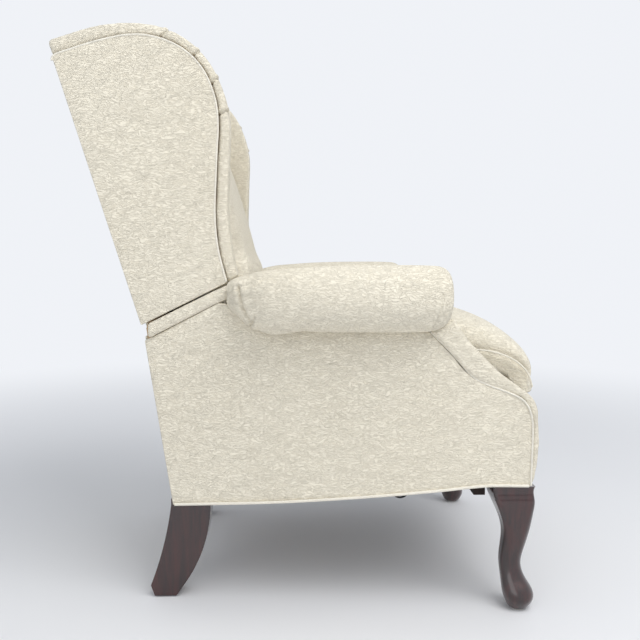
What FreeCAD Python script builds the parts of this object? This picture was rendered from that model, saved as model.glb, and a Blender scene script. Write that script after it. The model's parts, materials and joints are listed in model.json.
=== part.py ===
import FreeCAD, Part
import math
import os

import Sketcher
from FreeCAD import Placement, Rotation, Vector

# Wingback recliner of the push-back kind, without a lever: leaning on the back tilts back and wings,
# glides the seat forward on four swing links and unfolds the footrest.
# Row frame: +Z up, the chair faces -Y, +X is the sitter's left, origin on the floor under the middle.
# The left half is drawn and mirrored to the right. Lengths in millimetres, angles in degrees.

os.makedirs("parts", exist_ok=True)
doc = FreeCAD.newDocument("wingback_recliner")
sheet = doc.addObject("Spreadsheet::Sheet", "Sizes")

SIZES = [
    # name, value, what it is
    ("panel_board", 5, "thickness of an upholstered outside panel"),
    ("soft_gap", 0.4, "air between soft pieces and what they lie against"),
    ("pin_gap", 0.06, "radial air between a pin and its hole"),
    ("rail_thick", 22, "thickness of a wooden frame rail"),
    # arms and base
    ("arm_front", 417, "front seam of the arm panel, ahead of the middle"),
    ("arm_flare", 45, "how much further out the arm's outside stands at its front"),
    ("arm_half_rear", 280, "outside of the arm at its rear edge"),
    ("arm_wall", 30, "from the arm's outside at its rear in to a side rail's inner face"),
    ("arm_pad_inset", 6, "the arm padding's inside face, out from a side rail's"),
    ("arm_inner_pad", 12, "thickness of the inside arm padding"),
    ("arm_rear_foot", 257, "rear edge of the arm panel at the leg tops"),
    ("arm_rear_lean", 8.6, "lean of the arm's rear edge"),
    ("hem_front", 244.4, "height of the panel hem at the front"),
    ("hem_rear", 200, "height of the panel hem at the rear"),
    ("rail_under", 244, "underside of the side rails, top of the front legs"),
    ("rail_tall", 60, "height of a side rail"),
    ("rear_post_inset", 2, "a rear arm post's inner face, out from a side rail's"),
    ("post_wide", 40, "width of an arm post seen from the side"),
    ("plank_under", 514, "underside of the plank below the arm roll"),
    ("plank_thick", 21.5, "thickness of the plank below the arm roll"),
    ("roll_radius", 61, "radius of the padded arm roll"),
    ("roll_front", 260, "front end of the arm roll, ahead of the middle"),
    ("band_front", 12, "how far the padded front band stands ahead of the panel seam"),
    # legs
    ("leg_block", 80, "square top block of a front leg"),
    ("leg_overlap", 6, "how far a front leg block reaches in past its side rail"),
    ("leg_block_front", 427, "front face of a front leg block"),
    ("glide_tall", 3, "thickness of a nylon floor glide"),
    ("rear_leg_inset", 55, "a rear leg's inner face, in from a side rail's"),
    ("rear_leg_thick", 48, "thickness of a rear leg"),
    ("rear_rail_front", 225, "front face of the rear cross rail"),
    ("rear_rail_under", 215, "underside of the rear cross rail"),
    ("rear_rail_tall", 75, "height of the rear cross rail"),
    ("front_rail_top", 238, "top of the front cross rail"),
    ("front_rail_tall", 26, "height of the front cross rail"),
    # back and wings, in the raked frame of the back
    ("back_foot_y", 309, "rear lower corner of the wings, behind the middle"),
    ("back_foot_z", 546, "height of that corner"),
    ("back_rake", 17, "rake of the back at rest"),
    ("wing_slope", 9.2, "slope of the wing's lower edge in the back's frame"),
    ("wing_proud", 5, "how far a wing stands out past the arm at its rear"),
    ("wing_pad_inset", 9, "a wing pad's inside face, in from the stile's outer face"),
    ("wing_board", 17, "thickness of the wing's frame board"),
    ("wing_height", 508.5, "height of the wing's outside panel"),
    ("wing_reach", 257, "greatest depth of the wing's outside panel"),
    ("wing_roll", 25, "how far the padded wing edge rolls out past the panel, low on its front"),
    ("hinge_play", 1, "air between a hinge plate and the rear arm post"),
    ("stile_wide", 30, "width of a back stile"),
    ("stile_deep", 42, "depth of a back stile"),
    ("stile_below", 92, "length of a back stile below the wing corner"),
    ("back_cushion_play", 2, "air between the back cushion and a wing pad"),
    ("back_cushion_front", 213, "front of the back cushion, ahead of the back's rear face"),
    ("pivot_y", 287, "back pivot, behind the middle"),
    ("pivot_z", 539, "height of the back pivot"),
    ("pivot_bolt", 5, "radius of a back pivot bolt"),
    ("hinge_plate", 4, "thickness of a back hinge plate"),
    # seat
    ("seat_spacer", 10, "thickness of the spacers between the seat frame and its steel side plates"),
    ("seat_front", 400, "front face of the seat frame, ahead of the middle"),
    ("seat_rear", 82, "rear face of the seat frame, behind the middle"),
    ("seat_frame_under", 385, "underside of the seat frame"),
    ("seat_rail_tall", 45, "height of the seat frame's rails"),
    ("web_thick", 1.2, "thickness of elastic webbing"),
    ("cushion_play", 3, "air between the seat cushion and the arm padding"),
    ("cushion_nose", 456, "front of the seat cushion, ahead of the middle"),
    ("cushion_tall", 122, "height of the seat cushion's crown above its frame"),
    ("cushion_drop", 28, "how far the cushion's front lip hangs below the top of its frame"),
    ("cushion_rear", 128, "rear of the seat cushion, behind the middle"),
    # mechanism
    ("plate_thick", 3, "thickness of links and side plates"),
    ("layer_gap", 1, "air between two layers of links"),
    ("swing_length", 90, "length of a swing link"),
    ("swing_half_angle", 13.7, "lean of a swing link at rest"),
    ("swing_top", 342, "height of the upper swing pivots"),
    ("swing_front", 215, "front upper swing pivot, ahead of the middle"),
    ("swing_rear", 45, "rear upper swing pivot, behind the middle"),
    ("link_half_wide", 7, "half width of a footrest link"),
    ("link_pin", 4, "radius of a link pin"),
    ("slide_pin", 3.5, "radius of the stud that runs in the slot"),
    ("link_half", 80, "half length of a footrest link"),
    ("folded_angle", 84.5, "angle of the links to the reach when folded"),
    ("open_angle", 5.5, "the same when the footrest is out"),
    ("reach_tilt", 10, "upward tilt of the footrest's reach"),
    ("link_root_y", 364.8, "lower link pivot on the seat plate, ahead of the middle"),
    ("link_root_z", 256, "height of that pivot"),
    ("drag_seat_y", 105, "drag link pivot on the seat plate, behind the middle"),
    ("drag_drop", 12, "how far that pivot lies below the top of the seat frame"),
    ("drag_back_y", 260, "drag link pin on the back, behind the middle"),
    ("drag_back_z", 430, "height of that pin"),
    ("drag_slot", 2.6, "lost motion each way in the drag link's slotted eye"),
    ("spring_rod_y", 190, "rod that holds the return springs, ahead of the middle"),
    ("spring_rod_z", 211, "height of that rod"),
    ("anchor_y", 150, "anchor rod of the springs, behind the middle"),
    ("anchor_z", 262, "height of the anchor rod"),
    ("rod_radius", 4.5, "radius of the spring rods"),
    ("spring_half", 200, "distance of a return spring from the middle"),
    # footrest
    ("board_back", 405, "rear face of the footrest board, ahead of the middle"),
    ("board_thick", 12, "thickness of the footrest board"),
    ("board_play", 3, "air between the footrest board and the side rails"),
    ("board_under", 256, "lower edge of the footrest board"),
    ("board_top", 380, "upper edge of the footrest board"),
    ("pad_front", 447, "front of the footrest pad, ahead of the middle"),
]

for row, (alias, value, meaning) in enumerate(SIZES, start=1):
    sheet.set(f"A{row}", alias)
    sheet.set(f"B{row}", str(value))
    sheet.set(f"C{row}", meaning)
    sheet.setAlias(f"B{row}", alias)
doc.recompute()


class Size:
    """A value together with the sheet formula that gives it."""

    def __init__(self, value, formula):
        self.value = float(value)
        self.formula = formula

    def _with(self, other, sign, swapped=False):
        first, second = self, as_size(other)
        if swapped:
            first, second = second, first
        results = {
            "+": lambda a, b: a + b,
            "-": lambda a, b: a - b,
            "*": lambda a, b: a * b,
            "/": lambda a, b: a / b,
        }
        value = results[sign](first.value, second.value)
        return Size(value, f"({first.formula} {sign} {second.formula})")

    def __add__(self, other):
        return self._with(other, "+")

    def __radd__(self, other):
        return self._with(other, "+", True)

    def __sub__(self, other):
        return self._with(other, "-")

    def __rsub__(self, other):
        return self._with(other, "-", True)

    def __mul__(self, other):
        return self._with(other, "*")

    def __rmul__(self, other):
        return self._with(other, "*", True)

    def __truediv__(self, other):
        return self._with(other, "/")

    def __neg__(self):
        return self._with(-1, "*")


def as_size(number):
    """Give a plain number the same form as a size from the sheet."""
    if isinstance(number, Size):
        return number
    return Size(number, f"({float(number):.6f})")


def val(number):
    """The plain number behind a size."""
    return as_size(number).value


def sine(angle):
    angle = as_size(angle)
    return Size(math.sin(math.radians(angle.value)), f"sin({angle.formula} * 1 deg)")


def cosine(angle):
    angle = as_size(angle)
    return Size(math.cos(math.radians(angle.value)), f"cos({angle.formula} * 1 deg)")


class Sheet:
    """Reads a driving dimension by its name."""

    def __getattr__(self, alias):
        return Size(sheet.get(alias), f"Sizes.{alias}")


s = Sheet()


def bind(obj, path, number):
    """Tie one property of an object to the sheet, or set it where the number is plain."""
    number = as_size(number)
    if "Sizes." in number.formula:
        obj.setExpression(path, number.formula)
    else:
        setattr(obj, path, number.value)


def put(obj, x, y, z, turn=None):
    """Place an object, with an optional turn about the X axis."""
    angle = as_size(0 if turn is None else turn)
    turned = Rotation(Vector(1, 0, 0), angle.value)
    obj.Placement = Placement(Vector(val(x), val(y), val(z)), turned)
    for axis, number in (("x", x), ("y", y), ("z", z)):
        if "Sizes." in as_size(number).formula:
            obj.setExpression(f"Placement.Base.{axis}", as_size(number).formula)
    if turn is not None and "Sizes." in angle.formula:
        obj.setExpression("Placement.Rotation.Angle", angle.formula)
    return obj


# What the part is made of: each entry is one node and its object.
subparts = []


def node(label, obj):
    """Keep an object as a node of the part under a name of its own."""
    obj.Label = label
    subparts.append(obj)
    return obj


def mirrored(source):
    """The same piece on the sitter's right."""
    twin = doc.addObject("Part::Mirroring", source.Name + "_twin")
    twin.Source = source
    twin.Normal = Vector(1, 0, 0)
    return twin


def group(label, pieces):
    """One node that holds several separate solids."""
    together = doc.addObject("Part::Compound", label)
    together.Links = pieces
    return node(label, together)


def pair(label, left):
    """A left piece and its mirror image as one node."""
    return group(label, [left, mirrored(left)])


def left_and_right(label, left):
    """A left piece and its mirror image as two nodes."""
    twin = mirrored(left)
    node(label + "_left", left)
    return node(label + "_right", twin)


def block(name, x, y, z):
    """A box between two values along each axis."""
    box = doc.addObject("Part::Box", name)
    for side, span in (("Length", x), ("Width", y), ("Height", z)):
        bind(box, side, as_size(span[1]) - span[0])
    return put(box, x[0], y[0], z[0])


def raked_point(w, u):
    """Row Y and Z of a place in the back's frame: w ahead of its rear face, u up along it."""
    lean = s.back_rake
    y = s.back_foot_y - w * cosine(lean) + u * sine(lean)
    z = s.back_foot_z + w * sine(lean) + u * cosine(lean)
    return y, z


def raked_block(name, x, w, u):
    """A box in the back's frame."""
    box = doc.addObject("Part::Box", name)
    for side, span in (("Length", x), ("Width", w), ("Height", u)):
        bind(box, side, as_size(span[1]) - span[0])
    y, z = raked_point(as_size(w[1]), as_size(u[0]))
    return put(box, x[0], y, z, -s.back_rake)


def crosswise_rod(name, y, z, radius, x):
    """A round bar along X."""
    rod = doc.addObject("Part::Cylinder", name)
    bind(rod, "Radius", radius)
    bind(rod, "Height", as_size(x[1]) - x[0])
    base = Vector(val(x[0]), val(y), val(z))
    rod.Placement = Placement(base, Rotation(Vector(0, 1, 0), 90))
    for axis, number in (("x", x[0]), ("y", y), ("z", z)):
        if "Sizes." in as_size(number).formula:
            rod.setExpression(f"Placement.Base.{axis}", as_size(number).formula)
    return rod


def upright_rod(name, x, y, z, radius):
    """A round bar along Z, between two heights."""
    rod = doc.addObject("Part::Cylinder", name)
    bind(rod, "Radius", radius)
    bind(rod, "Height", as_size(z[1]) - z[0])
    return put(rod, x, y, z[0])


def lengthwise_rod(name, x, y, z, radius):
    """A round bar along Y, between two depths."""
    rod = doc.addObject("Part::Cylinder", name)
    bind(rod, "Radius", radius)
    bind(rod, "Height", as_size(y[1]) - y[0])
    return put(rod, x, y[1], z, 90)


def boolean(kind, name, base, tool):
    """A Part boolean of two objects."""
    result = doc.addObject(f"Part::{kind}", name)
    result.Base = base
    result.Tool = tool
    return result


def fused(name, pieces):
    """Several solids joined into one piece."""
    whole = doc.addObject("Part::MultiFuse", name)
    whole.Shapes = pieces
    whole.Refine = True
    return whole


def origin_plane(body, role):
    """One of a body's own origin planes."""
    return next(plane for plane in body.Origin.OriginFeatures if plane.Role == role)


def new_sketch(body, name, x):
    """A sketch across the chair at the distance x, its axes along the body's Y and Z."""
    sketch = body.newObject("Sketcher::SketchObject", name)
    sketch.AttachmentSupport = [(origin_plane(body, "YZ_Plane"), "")]
    sketch.MapMode = "FlatFace"
    sketch.AttachmentOffset = Placement(Vector(0, 0, val(x)), Rotation())
    if "Sizes." in as_size(x).formula:
        sketch.setExpression("AttachmentOffset.Base.z", as_size(x).formula)
    return sketch


def constrain(sketch, kind, places, number):
    """Add a constraint and tie its value to the sheet."""
    index = sketch.addConstraint(Sketcher.Constraint(kind, *places, val(number)))
    if "Sizes." in as_size(number).formula:
        sketch.setExpression(f"Constraints[{index}]", as_size(number).formula)


def fix_point(sketch, geometry, position, y, z):
    """Hold a sketch point at its distances from the origin."""
    constrain(sketch, "DistanceX", (-1, 1, geometry, position), y)
    constrain(sketch, "DistanceY", (-1, 1, geometry, position), z)


def draw_outline(sketch, outline):
    """A closed outline: corners are (y, z), and (y, z, "arc") is a point that an arc passes."""
    corners = [place for place in outline if len(place) == 2]
    first_order = []
    index = 0
    count = len(corners)
    for place in outline:
        if len(place) == 2:
            first_order.append([place, corners[(index + 1) % count], None])
            index += 1
        else:
            first_order[-1][2] = place
    ends = []
    for start, stop, through in first_order:
        a = Vector(val(start[0]), val(start[1]), 0)
        b = Vector(val(stop[0]), val(stop[1]), 0)
        if through is None:
            edge = sketch.addGeometry(Part.LineSegment(a, b), False)
            ends.append((edge, 1, 2))
            continue
        m = Vector(val(through[0]), val(through[1]), 0)
        arc = Part.Arc(a, m, b)
        edge = sketch.addGeometry(arc, False)
        forward = sketch.getPoint(edge, 1).distanceToPoint(a) < sketch.getPoint(edge, 2).distanceToPoint(a)
        ends.append((edge, 1, 2) if forward else (edge, 2, 1))
    for place, (edge, first, _) in zip(corners, ends):
        fix_point(sketch, edge, first, place[0], place[1])
    for here, after in zip(ends, ends[1:] + ends[:1]):
        sketch.addConstraint(Sketcher.Constraint("Coincident", here[0], here[2], after[0], after[1]))
    for (edge, _, _), (_, _, through) in zip(ends, first_order):
        if through is None:
            continue
        mark = Part.Point(Vector(val(through[0]), val(through[1]), 0))
        point = sketch.addGeometry(mark, True)
        fix_point(sketch, point, 1, through[0], through[1])
        sketch.addConstraint(Sketcher.Constraint("PointOnObject", point, 1, edge))


def draw_circle(sketch, y, z, radius):
    """A hole or a pin end."""
    circle = Part.Circle(Vector(val(y), val(z), 0), Vector(0, 0, 1), val(radius))
    index = sketch.addGeometry(circle, False)
    fix_point(sketch, index, 3, y, z)
    constrain(sketch, "Radius", (index,), radius)


def pad(body, sketch, thickness):
    """Raise a sketch along +X."""
    feature = body.newObject("PartDesign::Pad", sketch.Name + "_pad")
    feature.Profile = sketch
    bind(feature, "Length", thickness)
    return feature


def profile(name, outline, x, holes=()):
    """A flat piece cut from board or plate, with round holes (y, z, radius)."""
    body = doc.addObject("PartDesign::Body", name)
    sketch = new_sketch(body, name + "_outline", x[0])
    draw_outline(sketch, outline)
    for y, z, radius in holes:
        draw_circle(sketch, y, z, radius)
    pad(body, sketch, as_size(x[1]) - x[0])
    return body


def raked_profile(name, outline, x, holes=()):
    """A flat piece of the back, its outline given as (w, u) in the back's frame."""
    turned = [(-as_size(place[0]), *place[1:]) for place in outline]
    bored = [(-as_size(w), u, radius) for w, u, radius in holes]
    body = profile(name, turned, x, bored)
    return put(body, 0, s.back_foot_y, s.back_foot_z, -s.back_rake)


def strap(name, start, turn, length, x, half_wide, holes=(), studs=()):
    """A steel link with round ends, from its start pivot along the turned Y axis.

    holes and studs lie at distances along it: (distance, radius) and (distance, radius, low, high).
    """
    body = doc.addObject("PartDesign::Body", name)
    sketch = new_sketch(body, name + "_outline", x[0])
    far, r = val(length), val(half_wide)
    near_end = Part.ArcOfCircle(Part.Circle(Vector(), Vector(0, 0, 1), r), math.pi / 2, 3 * math.pi / 2)
    far_circle = Part.Circle(Vector(far, 0, 0), Vector(0, 0, 1), r)
    far_end = Part.ArcOfCircle(far_circle, -math.pi / 2, math.pi / 2)
    near = sketch.addGeometry(near_end, False)
    low = sketch.addGeometry(Part.LineSegment(Vector(0, -r, 0), Vector(far, -r, 0)), False)
    tip = sketch.addGeometry(far_end, False)
    top = sketch.addGeometry(Part.LineSegment(Vector(far, r, 0), Vector(0, r, 0)), False)
    for a, a_end, b, b_end in ((near, 2, low, 1), (low, 2, tip, 1), (tip, 2, top, 1), (top, 2, near, 1)):
        sketch.addConstraint(Sketcher.Constraint("Tangent", a, a_end, b, b_end))
    sketch.addConstraint(Sketcher.Constraint("Coincident", near, 3, -1, 1))
    sketch.addConstraint(Sketcher.Constraint("PointOnObject", tip, 3, -1))
    constrain(sketch, "DistanceX", (-1, 1, tip, 3), length)
    constrain(sketch, "Radius", (near,), half_wide)
    for distance, radius in holes:
        draw_circle(sketch, distance, 0, radius)
    pad(body, sketch, as_size(x[1]) - x[0])
    for number, (distance, radius, x_low, x_high) in enumerate(studs):
        ring = new_sketch(body, f"{name}_stud_{number}", x_low)
        draw_circle(ring, distance, 0, radius)
        pad(body, ring, as_size(x_high) - x_low)
    return put(body, 0, start[0], start[1], turn)


def feature(name, shape):
    """A piece whose shape comes from Part's own functions."""
    piece = doc.addObject("Part::Feature", name)
    piece.Shape = shape
    piece.Placement = Placement()
    return piece


def wire_of(points, x):
    """A closed wire across the chair through (y, z) corners, with arcs where a point says so."""
    corners = [place for place in points if len(place) == 2]
    edges = []
    index = 0
    pending = None
    for place in points + points[:1]:
        if len(place) == 3:
            pending = place
            continue
        here = Vector(x, place[0], place[1])
        if edges or index:
            if pending is None:
                edges.append(Part.LineSegment(before, here).toShape())
            else:
                through = Vector(x, pending[0], pending[1])
                edges.append(Part.Arc(before, through, here).toShape())
        before = here
        pending = None
        index += 1
    assert len(edges) == len(corners)
    return Part.Wire(edges)


def rounded_square(center, half, corner, z):
    """A level square wire with rounded corners: 4 lines and 4 arcs."""
    edges = []
    flat = half - corner
    for quarter in range(4):
        turn = Rotation(Vector(0, 0, 1), 90 * quarter)
        a = turn.multVec(Vector(half, -flat, 0))
        b = turn.multVec(Vector(half, flat, 0))
        c = turn.multVec(Vector(flat, half, 0))
        bend = corner * math.sqrt(0.5)
        m = turn.multVec(Vector(flat + bend, flat + bend, 0))
        at = Vector(center[0], center[1], z)
        edges.append(Part.LineSegment(at + a, at + b).toShape())
        edges.append(Part.Arc(at + b, at + m, at + c).toShape())
    return Part.Wire(edges)


def circle_wire(x, y, z, radius):
    """An upright circle across Y, as four arcs."""
    edges = []
    for quarter in range(4):
        angles = [math.radians(90 * quarter + step) for step in (0, 45, 90)]
        places = [Vector(x + radius * math.cos(a), y, z + radius * math.sin(a)) for a in angles]
        edges.append(Part.Arc(*places).toShape())
    return Part.Wire(edges)


# Layers of the mechanism, from the side rail inwards

# Half widths and heights that follow from the sizes above

side_rail_half = s.arm_half_rear - s.arm_wall
rear_post_half = side_rail_half + s.rear_post_inset
arm_inner_half = side_rail_half + s.arm_pad_inset
arm_half_front = s.arm_half_rear + s.arm_flare
leg_block_half = side_rail_half - s.leg_overlap
rear_leg_half = side_rail_half - s.rear_leg_inset
stile_outer_half = rear_post_half - s.hinge_plate - s.hinge_play
wing_half = s.arm_half_rear + s.wing_proud
wing_inner_half = stile_outer_half - s.wing_pad_inset
back_cushion_half = wing_inner_half - s.back_cushion_play
cushion_half = arm_inner_half - s.cushion_play
board_half = side_rail_half - s.board_play
seat_frame_top = s.seat_frame_under + s.seat_rail_tall
cushion_crown = seat_frame_top + s.cushion_tall
cushion_lip = seat_frame_top - s.cushion_drop
drag_seat_z = seat_frame_top - s.drag_drop


def layer(number):
    """The low and high X of one layer of plates on the left side."""
    high = side_rail_half - (s.plate_thick + s.layer_gap) * number
    return high - s.plate_thick, high


BASE_LAYER = layer(0)
SWING_LAYER = layer(1)
SEAT_LAYER = layer(2)
OUTER_LINK_LAYER = layer(3)
INNER_LINK_LAYER = layer(4)
seat_half = SEAT_LAYER[0] - s.seat_spacer
pin_hole = s.link_pin + s.pin_gap

# Lines that several pieces share


def arm_rear_at(z, inset=0):
    """The arm's rear edge at a height."""
    lean = s.arm_rear_lean
    return s.arm_rear_foot + (as_size(z) - s.hem_rear) * (sine(lean) / cosine(lean)) - inset


arm_slope = s.wing_slope + s.back_rake
slope_rate = sine(arm_slope) / cosine(arm_slope)


def under_wing(y, drop):
    """Height of a line below the wing's lower edge, at the depth y."""
    return s.back_foot_z + (s.back_foot_y - y) * slope_rate - drop


roll_center_z = s.plank_under + s.plank_thick + s.roll_radius + s.soft_gap


# Base frame

front = s.arm_front
rail_top = s.rail_under + s.rail_tall
rail_x = (side_rail_half, side_rail_half + s.rail_thick)
rail_rear = arm_rear_at(s.rail_under, s.panel_board + 1)
side_rail = block("side_rail", rail_x, (-front + 6, rail_rear - 6), (s.rail_under, rail_top))
anchor_hole = crosswise_rod(
    "anchor_hole", s.anchor_y, s.anchor_z, s.rod_radius + s.pin_gap, (0, side_rail_half + 12)
)
leg_bolt_hole = upright_rod(
    "leg_bolt_hole",
    leg_block_half + 18,
    -s.leg_block_front + s.leg_block / 2,
    (s.rail_under - 30, rail_top - 20),
    4 + s.pin_gap,
)
side_rail = boolean("Cut", "side_rail_bored", side_rail, anchor_hole)
side_rail = boolean("Cut", "side_rail_done", side_rail, leg_bolt_hole)
pair("side_rails", side_rail)

leg_rear_face = s.leg_block - s.leg_block_front
front_rail_y = (leg_rear_face + 2, leg_rear_face + 24)
front_rail_x = side_rail_half + s.rail_thick
front_rail = block(
    "front_rail",
    (-front_rail_x, front_rail_x),
    front_rail_y,
    (s.front_rail_top - s.front_rail_tall, s.rail_under),
)
front_rail_gap = block(
    "front_rail_gap", (-side_rail_half, side_rail_half), (front_rail_y[0] - 5, front_rail_y[1] + 5),
    (s.front_rail_top, s.rail_under + 5),
)
front_rail = boolean("Cut", "front_rail_done", front_rail, front_rail_gap)
node("front_cross_rail", front_rail)

rear_rail_y = (s.rear_rail_front, s.rear_rail_front + s.rail_thick)
rear_rail_top = s.rear_rail_under + s.rear_rail_tall
rear_rail = block(
    "rear_rail",
    (-side_rail_half, side_rail_half),
    rear_rail_y,
    (s.rear_rail_under, rear_rail_top),
)
rear_bolt_z = s.rear_rail_under + s.rear_rail_tall / 2
rear_bolt_x = rear_leg_half + s.rear_leg_thick / 2
rear_bolt_hole = lengthwise_rod(
    "rear_bolt_hole", rear_bolt_x, (s.rear_rail_front - 20, s.rear_rail_front + 40), rear_bolt_z,
    4 + s.pin_gap,
)
rear_rail = boolean("Cut", "rear_rail_left_bored", rear_rail, rear_bolt_hole)
rear_rail = boolean("Cut", "rear_rail_bored", rear_rail, mirrored(rear_bolt_hole))
node("rear_cross_rail", rear_rail)

# Legs

block_center = (leg_block_half + s.leg_block / 2, -s.leg_block_front + s.leg_block / 2)
leg_top = val(s.rail_under)
block_half = val(s.leg_block) / 2
# height above the floor, how far the middle has moved out and forward, half width, corner radius
CABRIOLE = [
    (leg_top, 0, block_half, 4),
    (leg_top - 26, 3, block_half - 2.5, 8),
    (leg_top - 52, 8, block_half - 8, 12),
    (leg_top - 86, 11, block_half - 15, 15),
    (leg_top * 0.46, 6, block_half - 19, 15),
    (leg_top * 0.35, 4, block_half - 20, 16),
    (leg_top * 0.24, 9, block_half - 17, 20),
    (leg_top * 0.15, 16, block_half - 11.5, 26),
    (leg_top * 0.08, 18, block_half - 13, 25),
    (val(s.glide_tall), 18, block_half - 23, 16),
]
sections = []
for z, shift, half, corner in CABRIOLE:
    center = (val(block_center[0]) + shift, val(block_center[1]) - shift)
    sections.append(rounded_square(center, half, corner, z))
front_leg = feature("front_leg", Part.makeLoft(sections, True, False))
front_leg = boolean("Cut", "front_leg_bored", front_leg, leg_bolt_hole)
left_and_right("front_leg", front_leg)
front_foot = (block_center[0] + 18, block_center[1] - 18)

leg_back = s.rear_rail_front + 42
leg_face = s.rear_rail_front - 35
sabre = [
    (s.rear_rail_front + s.rail_thick - 2, s.rear_rail_under),
    (s.rear_rail_front + s.rail_thick - 2, s.hem_rear + 4),
    (leg_back, s.hem_rear),
    (leg_back, s.hem_rear - 12),
    (leg_back + 17, 103, "arc"),
    (leg_back + 43, 24),
    (leg_back + 36, s.glide_tall),
    (leg_back - 8, s.glide_tall),
    (leg_face + 52, 28),
    (leg_face + 17, 95, "arc"),
    (leg_face, s.rear_rail_under - 30),
    (leg_face, rear_rail_top - 6),
    (s.rear_rail_front, rear_rail_top - 6),
    (s.rear_rail_front, s.rear_rail_under),
]
rear_leg = profile("rear_leg", sabre, (rear_leg_half, rear_leg_half + s.rear_leg_thick))
rear_leg = boolean("Cut", "rear_leg_bored", rear_leg, rear_bolt_hole)
left_and_right("rear_leg", rear_leg)
rear_foot = (rear_bolt_x, leg_back + 14)

glides = []
for name, (x, y), radius in (("front_glide", front_foot, 14), ("rear_glide", rear_foot, 16)):
    glide = upright_rod(name, x, y, (0, s.glide_tall), radius)
    glides += [glide, mirrored(glide)]
group("floor_glides", glides)

front_bolt = upright_rod(
    "front_bolt",
    leg_block_half + 18,
    block_center[1],
    (s.rail_under - 30, rail_top - 20),
    4,
)
rear_bolt = lengthwise_rod(
    "rear_bolt", rear_bolt_x, (s.rear_rail_front - 20, s.rear_rail_front + s.rail_thick), rear_bolt_z, 4
)
group("leg_bolts", [front_bolt, mirrored(front_bolt), rear_bolt, mirrored(rear_bolt)])

# Arm frames, trimmed to the taper of the arm's outside

taper = (arm_half_front - s.arm_half_rear) / (s.arm_rear_foot + s.arm_front)
turn_angle = math.degrees(math.atan(val(taper)))


def slanted_slab(name, inset, thickness):
    """A slab along the tapered side of an arm: inset from its outside face."""
    slab = doc.addObject("Part::Feature", name)
    overrun = 200
    length = val(s.arm_rear_foot + s.arm_front) + 2 * overrun
    slab.Shape = Part.makeBox(val(thickness), length, 700)
    turned = Rotation(Vector(0, 0, 1), turn_angle)
    corner = Vector(val(arm_half_front - inset - thickness), -val(s.arm_front), 100)
    slab.Placement = Placement(corner + turned.multVec(Vector(0, -overrun, 0)), turned)
    return slab


inside_arm = slanted_slab("inside_arm", s.panel_board + 0.4, 80)


def front_seam(back, down):
    """The S-shaped line of the arm's front, from low to high, moved back and down by a distance."""
    edge = back - s.arm_front
    return [
        (edge - 1, 367),
        (edge + 10, 399 - down, "arc"),
        (edge + 27, 416 - down),
        (edge + 85, 437 - down),
        (edge + 117, 457 - down, "arc"),
        (edge + 145, 489 - down),
        (edge + 173, s.plank_under + 3.5 - down),
    ]



plank_top = s.plank_under + s.plank_thick
seam_x = arm_half_front - s.panel_board - 2
post_front = [
    (-front + 6, rail_top),
    *front_seam(7, 5)[:-1],
    (-front + 186, s.plank_under),
    (-front + 226, s.plank_under),
    (-front + 192, 474),
    (-front + 160, 434, "arc"),
    (-front + 120, 402),
    (-front + 64, 376),
    (-front + 46, 344),
    (-front + 46, rail_top),
]
front_post = profile("front_post", post_front, (seam_x - 44, seam_x))
foot_front = block(
    "front_post_foot",
    (side_rail_half + s.rail_thick, seam_x),
    (-front + 6, -front + 46),
    (s.rail_under, rail_top + 10),
)
front_post = fused("front_post_whole", [front_post, foot_front])
pair("arm_front_posts", boolean("Common", "front_post_done", front_post, inside_arm))

post_back = s.panel_board + 1.5
rear_post = profile(
    "rear_post",
    [
        (arm_rear_at(rail_top, post_back) - s.post_wide, rail_top),
        (arm_rear_at(rail_top, post_back), rail_top),
        (arm_rear_at(s.pivot_z, post_back), s.pivot_z),
        (arm_rear_at(s.pivot_z, post_back + 2), under_wing(arm_rear_at(s.pivot_z, post_back + 2), 5)),
        (s.pivot_y - 28, under_wing(s.pivot_y - 28, 5)),
    ],
    (rear_post_half, rear_post_half + s.rail_thick),
    [(s.pivot_y, s.pivot_z, s.pivot_bolt + s.pin_gap)],
)
pair("arm_rear_posts", boolean("Common", "rear_post_done", rear_post, inside_arm))

plank_rear = s.pivot_y - 36.5
plank = block(
    "plank",
    (arm_inner_half + s.arm_inner_pad + 2, arm_half_front + 8),
    (-front + 193, plank_rear),
    (s.plank_under, plank_top),
)
pair("arm_top_rails", boolean("Common", "plank_done", plank, inside_arm))

# Outside arm panel: an upright board outline cut from a slab that tapers in to the rear

panel_corner = arm_rear_at(s.plank_under)
hem_middle = s.hem_rear * 0.52 + s.hem_front * 0.48
panel_outline = [
    (arm_rear_at(s.hem_rear), s.hem_rear),
    (panel_corner, under_wing(panel_corner, 32)),
    (164, under_wing(164, 30)),
    (146, plank_top + 49),
    (122, plank_top + 32),
    (100, plank_top + 9, "arc"),
    (72, plank_top),
    (-front + 192, plank_top),
    *front_seam(1, 0.6)[::-1],
    (-front, s.hem_front),
    (-330, s.hem_front),
    (-140, hem_middle, "arc"),
    (60, s.hem_rear + 6),
]
panel_blank = profile("panel_blank", panel_outline, (s.arm_half_rear - 60, arm_half_front + 60))

outside_slab = slanted_slab("outside_slab", 0, s.panel_board)
arm_panel = boolean("Common", "arm_panel", panel_blank, outside_slab)
left_and_right("arm_outside_panel", arm_panel)

# Inside arm padding, up to the roll and down behind the seat cushion's side

pad_x = (arm_inner_half, arm_inner_half + s.arm_inner_pad)
pad_top = roll_center_z - 30
inside_pad_outline = [
    (212, 330),
    (212, under_wing(212, 34)),
    (160, under_wing(160, 34)),
    (128, pad_top),
    (-front + 194, pad_top),
    (-front + 194, plank_top + 0.5),
    *front_seam(2.5, 2)[::-1],
    (-front + 2, 330),
]
left_and_right("arm_inside_pad", profile("inside_pad", inside_pad_outline, pad_x))

# Arm roll: a round padded bolster that tapers away under the wing

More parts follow.
